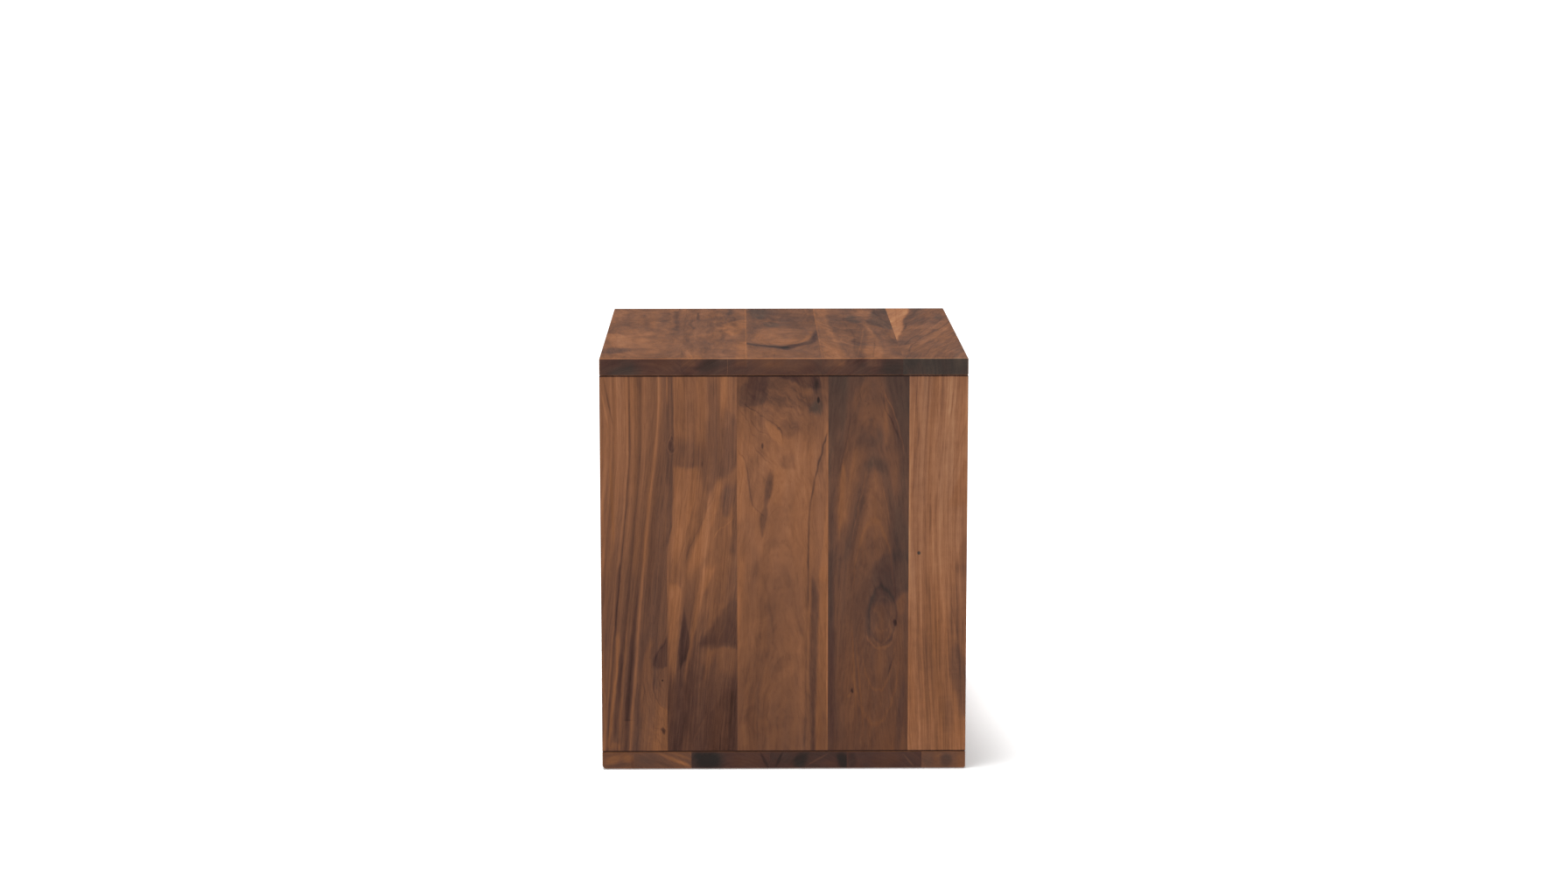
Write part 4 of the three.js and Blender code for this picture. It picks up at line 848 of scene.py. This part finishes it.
def back_piece():
    """The CAD panel with its screw seats, its visible edges eased."""
    bm = bmesh.new()
    bm.from_mesh(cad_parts["back_panel"].data)
    bmesh.ops.remove_doubles(bm, verts=bm.verts, dist=1e-6)
    bmesh.ops.dissolve_limit(bm, angle_limit=math.radians(0.5), verts=bm.verts, edges=bm.edges)
    lo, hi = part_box("back_panel")
    weight = bm.edges.layers.float.new("bevel_weight_edge")
    for e in bm.edges:
        if len(e.link_faces) != 2 or e.calc_face_angle(0.0) < math.radians(12.0):
            continue
        mid = (e.verts[0].co + e.verts[1].co) / 2
        if sum((abs(mid[k] - lo[k]) < 1e-4 or abs(mid[k] - hi[k]) < 1e-4) for k in range(3)) >= 2:
            e[weight] = 1.0
    mesh = bpy.data.meshes.new("back_board")
    bm.to_mesh(mesh)
    bm.free()
    o = piece("back_board", mesh, BACK_WALNUT, "carcass", "walnut_back", "back_panel")
    finished(o, 30.0)
    bev = o.modifiers.new("ease", "BEVEL")
    bev.width, bev.segments, bev.limit_method, bev.harden_normals = 0.0005, 3, "WEIGHT", True


back_piece()

# ------------------------------------------------------------------ back-panel screws

for i in range(1, 9):
    node = f"back_screw_{i}"
    mid, lo, hi = middle(node)
    at = (mid.x, hi.y, mid.z)
    bm = bmesh.new()
    # countersunk head with a cross recess, seen from the back: heights run to the back, so the head's face is 0
    sides = 48
    head = [(0.0, 0.0), (0.0030, 0.0), (0.00338, -0.00008), (0.0035, -0.0003), (0.00344, -0.0005), (0.0017, -0.00225), (0.0016, -0.0026), (0.0016, -0.0034), (0.0, -0.0034)]
    lathe(bm, head, sides, at, "Y")
    mesh = mesh_of(f"screw_head_{i}", bm)
    cut_bm = bmesh.new()
    for turn in (0.0, math.pi / 2):
        a = 0.35 + turn + i * 0.83
        rot = Matrix.Rotation(a, 4, "Y")
        wing = [(-0.0019, 0.001), (0.0019, 0.001), (0.0019, 0.0), (0.0007, -0.0017), (0.0, -0.0019), (-0.0007, -0.0017), (-0.0019, 0.0)]
        front = [cut_bm.verts.new(Vector(at) + rot @ Vector((x, y, 0.00036))) for x, y in wing]
        back = [cut_bm.verts.new(Vector(at) + rot @ Vector((x, y, -0.00036))) for x, y in wing]
        cut_bm.faces.new(front)
        cut_bm.faces.new(back[::-1])
        for k in range(len(wing)):
            n = (k + 1) % len(wing)
            cut_bm.faces.new((front[n], front[k], back[k], back[n]))
    bmesh.ops.recalc_face_normals(cut_bm, faces=cut_bm.faces)
    cut_mesh = bpy.data.meshes.new("cut")
    cut_bm.to_mesh(cut_mesh)
    cut_bm.free()
    head_o = bpy.data.objects.new("head", mesh)
    cut_o = bpy.data.objects.new("cut", cut_mesh)
    scene.collection.objects.link(head_o)
    scene.collection.objects.link(cut_o)
    boo = head_o.modifiers.new("cut", "BOOLEAN")
    boo.operation, boo.object, boo.solver, boo.use_self = "DIFFERENCE", cut_o, "EXACT", True
    bpy.context.view_layer.update()
    done = bpy.data.meshes.new_from_object(head_o.evaluated_get(bpy.context.evaluated_depsgraph_get()))
    bm = bmesh.new()
    bm.from_mesh(done)
    for o in (head_o, cut_o):
        bpy.data.objects.remove(o)
    length = (hi.y - lo.y)
    screwed(bm, 0.00105, 0.00158, 0.0013, -length, -0.0030, 20, at, "Y", steps=7, lead=0.0016, taper=0.0042, sharp=0.30, hand=-1.0)
    m2 = mesh_of(f"screw_{i}", bm)
    piece(f"panel_screw_{i}", m2, OXIDE, "carcass", "black_steel", node)

# ------------------------------------------------------------------ dowels

for level in ("base", "top"):
    for side in ("left", "right"):
        for i in range(1, 5):
            node = f"dowel_{level}_{side}_{i}"
            mid, lo, hi = middle(node)
            bm = bmesh.new()
            flutes, per = 18, 6
            sides = flutes * per
            r0, long = 0.0040, hi.z - lo.z
            rings = []
            for r, h in ((0.0029, 0.0), (0.0032, 0.00012), (0.0036, 0.0006), (0.0039, 0.0012), (r0, 0.0017), (r0, long - 0.0017), (0.0039, long - 0.0012), (0.0036, long - 0.0006), (0.0032, long - 0.00012), (0.0029, long)):
                ring = []
                for k in range(sides):
                    groove = (0.0, 0.0, 0.00022, 0.00032, 0.00022, 0.0)[k % per] if r > 0.0035 else 0.0
                    ring.append(bm.verts.new(turned(r - groove, h, 2 * math.pi * k / sides, (mid.x, mid.y, lo.z), "Z")))
                rings.append(ring)
            for a, b in zip(rings, rings[1:]):
                for k in range(sides):
                    n = (k + 1) % sides
                    bm.faces.new((a[k], a[n], b[n], b[k]))
            bm.faces.new(rings[0][::-1])
            bm.faces.new(rings[-1])
            piece(f"beech_dowel_{level}_{side}_{i}", mesh_of(f"dowel_{level}_{side}_{i}_fluted", bm, 30.0), beech_wood(f"beech_{level}_{side}_{i}", i * 7.3), "carcass", "beech", node)

# ------------------------------------------------------------------ levelling glides

for where in ("front_left", "front_right", "rear_left", "rear_right"):
    # threaded insert in the base: plain bore, a thin lip, and a coarse thread that bites the wood
    mid, lo, hi = middle(f"glide_insert_{where}")
    at = (mid.x, mid.y, 0.0)
    bm = bmesh.new()
    ri, ro = 0.00315, 0.0045
    rings = screwed(bm, 0.0039, ro, 0.0022, lo.z + 0.0007, hi.z - 0.0002, 40, at, "Z", steps=9, lead=0.0012, cap0=False, cap1=False, sharp=0.34)
    sides = 40

    def loop(r, h):
        return [bm.verts.new(turned(r, h, 2 * math.pi * k / sides, at, "Z")) for k in range(sides)]
    chain = [rings[-1], loop(0.0036, hi.z), loop(ri + 0.0001, hi.z), loop(ri, hi.z - 0.0002), loop(ri, lo.z + 0.0003), loop(ri + 0.0003, lo.z),
             loop(0.0042, lo.z), loop(0.0044, lo.z + 0.0002), loop(0.0044, lo.z + 0.0005), rings[0]]
    for a, b in zip(chain, chain[1:]):
        for k in range(sides):
            n = (k + 1) % sides
            bm.faces.new((a[k], a[n], b[n], b[k]))
    piece(f"threaded_insert_{where}", mesh_of(f"insert_{where}", bm, 35.0), BRASSY, "carcass", "zinc_steel", f"glide_insert_{where}")

    # stem: a ball-topped head in the pad, a spanner collar with turned corners, and an M6 thread
    mid, lo, hi = middle(f"glide_stem_{where}")
    bm = bmesh.new()
    lathe(bm, [(0.0, 0.0014), (0.0042, 0.0014), (0.0047, 0.00155), (0.005, 0.0019), (0.005, 0.0023), (0.0048, 0.0026), (0.0045, 0.0027), (0.0031, 0.0027), (0.0027, 0.0029),
               (0.0027, 0.0039), (0.0, 0.0039)], 48, at, "Z")
    flats = 0.0060
    corner = flats / math.cos(math.pi / 6)
    sides = 72
    rows = []
    for h, limit in ((0.0038, corner * 0.905), (0.00415, corner), (0.00595, corner), (0.0063, corner * 0.905)):
        ring = []
        for k in range(sides):
            t = 2 * math.pi * k / sides
            hexed = flats / math.cos((t + math.pi / 6) % (math.pi / 3) - math.pi / 6)
            ring.append(bm.verts.new(turned(min(hexed, limit), h, t, at, "Z")))
        rows.append(ring)
    for a, b in zip(rows, rows[1:]):
        for k in range(sides):
            n = (k + 1) % sides
            bm.faces.new((a[k], a[n], b[n], b[k]))
    bm.faces.new(rows[0][::-1])
    bm.faces.new(rows[-1])
    screwed(bm, 0.00245, 0.00298, 0.001, 0.0062, hi.z, 28, at, "Z", steps=8, lead=0.0008, sharp=0.5)
    piece(f"levelling_stem_{where}", mesh_of(f"stem_{where}", bm, 24.0), ZINC, f"stem_{where}", "zinc_steel", f"glide_stem_{where}")

    # pad: rounded rim, a shallow dished sole with a fine concentric tread, and the cup that grips the head
    bm = bmesh.new()
    points = [(0.0, 0.00022), (0.0020, 0.00020), (0.0024, 0.0), (0.0030, 0.0), (0.0034, 0.00016), (0.0044, 0.00014), (0.0048, 0.0), (0.0054, 0.0), (0.0058, 0.00013), (0.0068, 0.00010),
              (0.0072, 0.0), (0.0096, 0.0), (0.0101, 0.00012), (0.01048, 0.00038), (0.01078, 0.00075), (0.01094, 0.0011), (0.0110, 0.0015), (0.0110, 0.0022),
              (0.01092, 0.0026), (0.0107, 0.00298), (0.01036, 0.00328), (0.0100, 0.00344), (0.0096, 0.0035), (0.0056, 0.0035), (0.0049, 0.00346), (0.0040, 0.0035),
              (0.00362, 0.00345), (0.00345, 0.0033), (0.0034, 0.0031), (0.0034, 0.0029), (0.0052, 0.0029), (0.0053, 0.0028), (0.0053, 0.0012), (0.0052, 0.0011), (0.0, 0.0011)]
    lathe(bm, points, 96, at, "Z")
    piece(f"levelling_pad_{where}", mesh_of(f"pad_{where}", bm, 34.0), NYLON, f"pad_{where}", "nylon", f"glide_pad_{where}")

# ------------------------------------------------------------------ floor, light and camera

floor_mesh = bpy.data.meshes.new("floor")
bm = bmesh.new()
bmesh.ops.create_grid(bm, x_segments=1, y_segments=1, size=40.0)
bm.to_mesh(floor_mesh)
bm.free()
floor = bpy.data.objects.new("floor", floor_mesh)
scene.collection.objects.link(floor)
fm, fg, fp = material("floor")
fp.inputs["Base Color"].default_value = (0.90, 0.90, 0.90, 1)
fp.inputs["Roughness"].default_value = 0.9
fp.inputs["Specular IOR Level"].default_value = 0.0
fp.inputs["Emission Color"].default_value = (1, 1, 1, 1)      # a light table: shadows on it stay pale
fp.inputs["Emission Strength"].default_value = 0.22
floor_mesh.materials.append(fm)

SKY = 0.38
world = bpy.data.worlds.new("studio")
scene.world = world
world.use_nodes = True
wg = Graph(world.node_tree)
bg = next(n for n in world.node_tree.nodes if n.type == "BACKGROUND")
lp = wg.node("ShaderNodeLightPath")
strength = wg.mad(lp.outputs["Is Camera Ray"], 1.0 - SKY, SKY)
bg.inputs["Color"].default_value = (1, 1, 1, 1)
wg.put(bg.inputs["Strength"], strength)

# a broad key light overhead, and a weaker one from low in front of the side that faces the camera
for name, energy, angle, toward in (("key", 2.43, 14.0, (0.050, -0.125, 0.98)), ("fill", 0.96, 12.0, (0.89, -0.02, 0.45))):
    sun_data = bpy.data.lights.new(name, "SUN")
    sun_data.energy = energy
    sun_data.angle = math.radians(angle)
    sun = bpy.data.objects.new(name, sun_data)
    sun.rotation_mode = "QUATERNION"
    sun.rotation_quaternion = Vector(toward).to_track_quat("Z", "Y")
    scene.collection.objects.link(sun)

# a small kicker from behind, which lifts the far end of the shadow
kick_data = bpy.data.lights.new("kicker", "SPOT")
kick_data.energy, kick_data.shadow_soft_size = 48.0, 0.15
kick_data.spot_size, kick_data.spot_blend = math.radians(36.0), 0.75
kick = bpy.data.objects.new("kicker", kick_data)
kick.location = (-0.90, 1.20, 1.20)
kick.rotation_mode = "QUATERNION"
kick.rotation_quaternion = (kick.location - Vector((-0.42, 0.30, 0.0))).to_track_quat("Z", "Y")
scene.collection.objects.link(kick)

cam_data = bpy.data.cameras.new("camera")
cam_data.sensor_width = 36.0
cam_data.lens = 3849.3 / 1792.0 * 36.0
cam_data.clip_start, cam_data.clip_end = 0.1, 200.0
cam = bpy.data.objects.new("camera", cam_data)
cam.rotation_mode = "QUATERNION"
cam.location = (3.840, -0.0476, 0.9404)
yaw, pitch = 0.01320, 0.157576
look = Vector((-math.cos(pitch) * math.cos(yaw), math.cos(pitch) * math.sin(yaw), -math.sin(pitch)))
cam.rotation_quaternion = look.to_track_quat("-Z", "Y")
scene.collection.objects.link(cam)
scene.camera = cam

scene.view_settings.view_transform = "Standard"
scene.view_settings.look = "None"
scene.view_settings.exposure = 0.0
scene.view_settings.gamma = 1.0
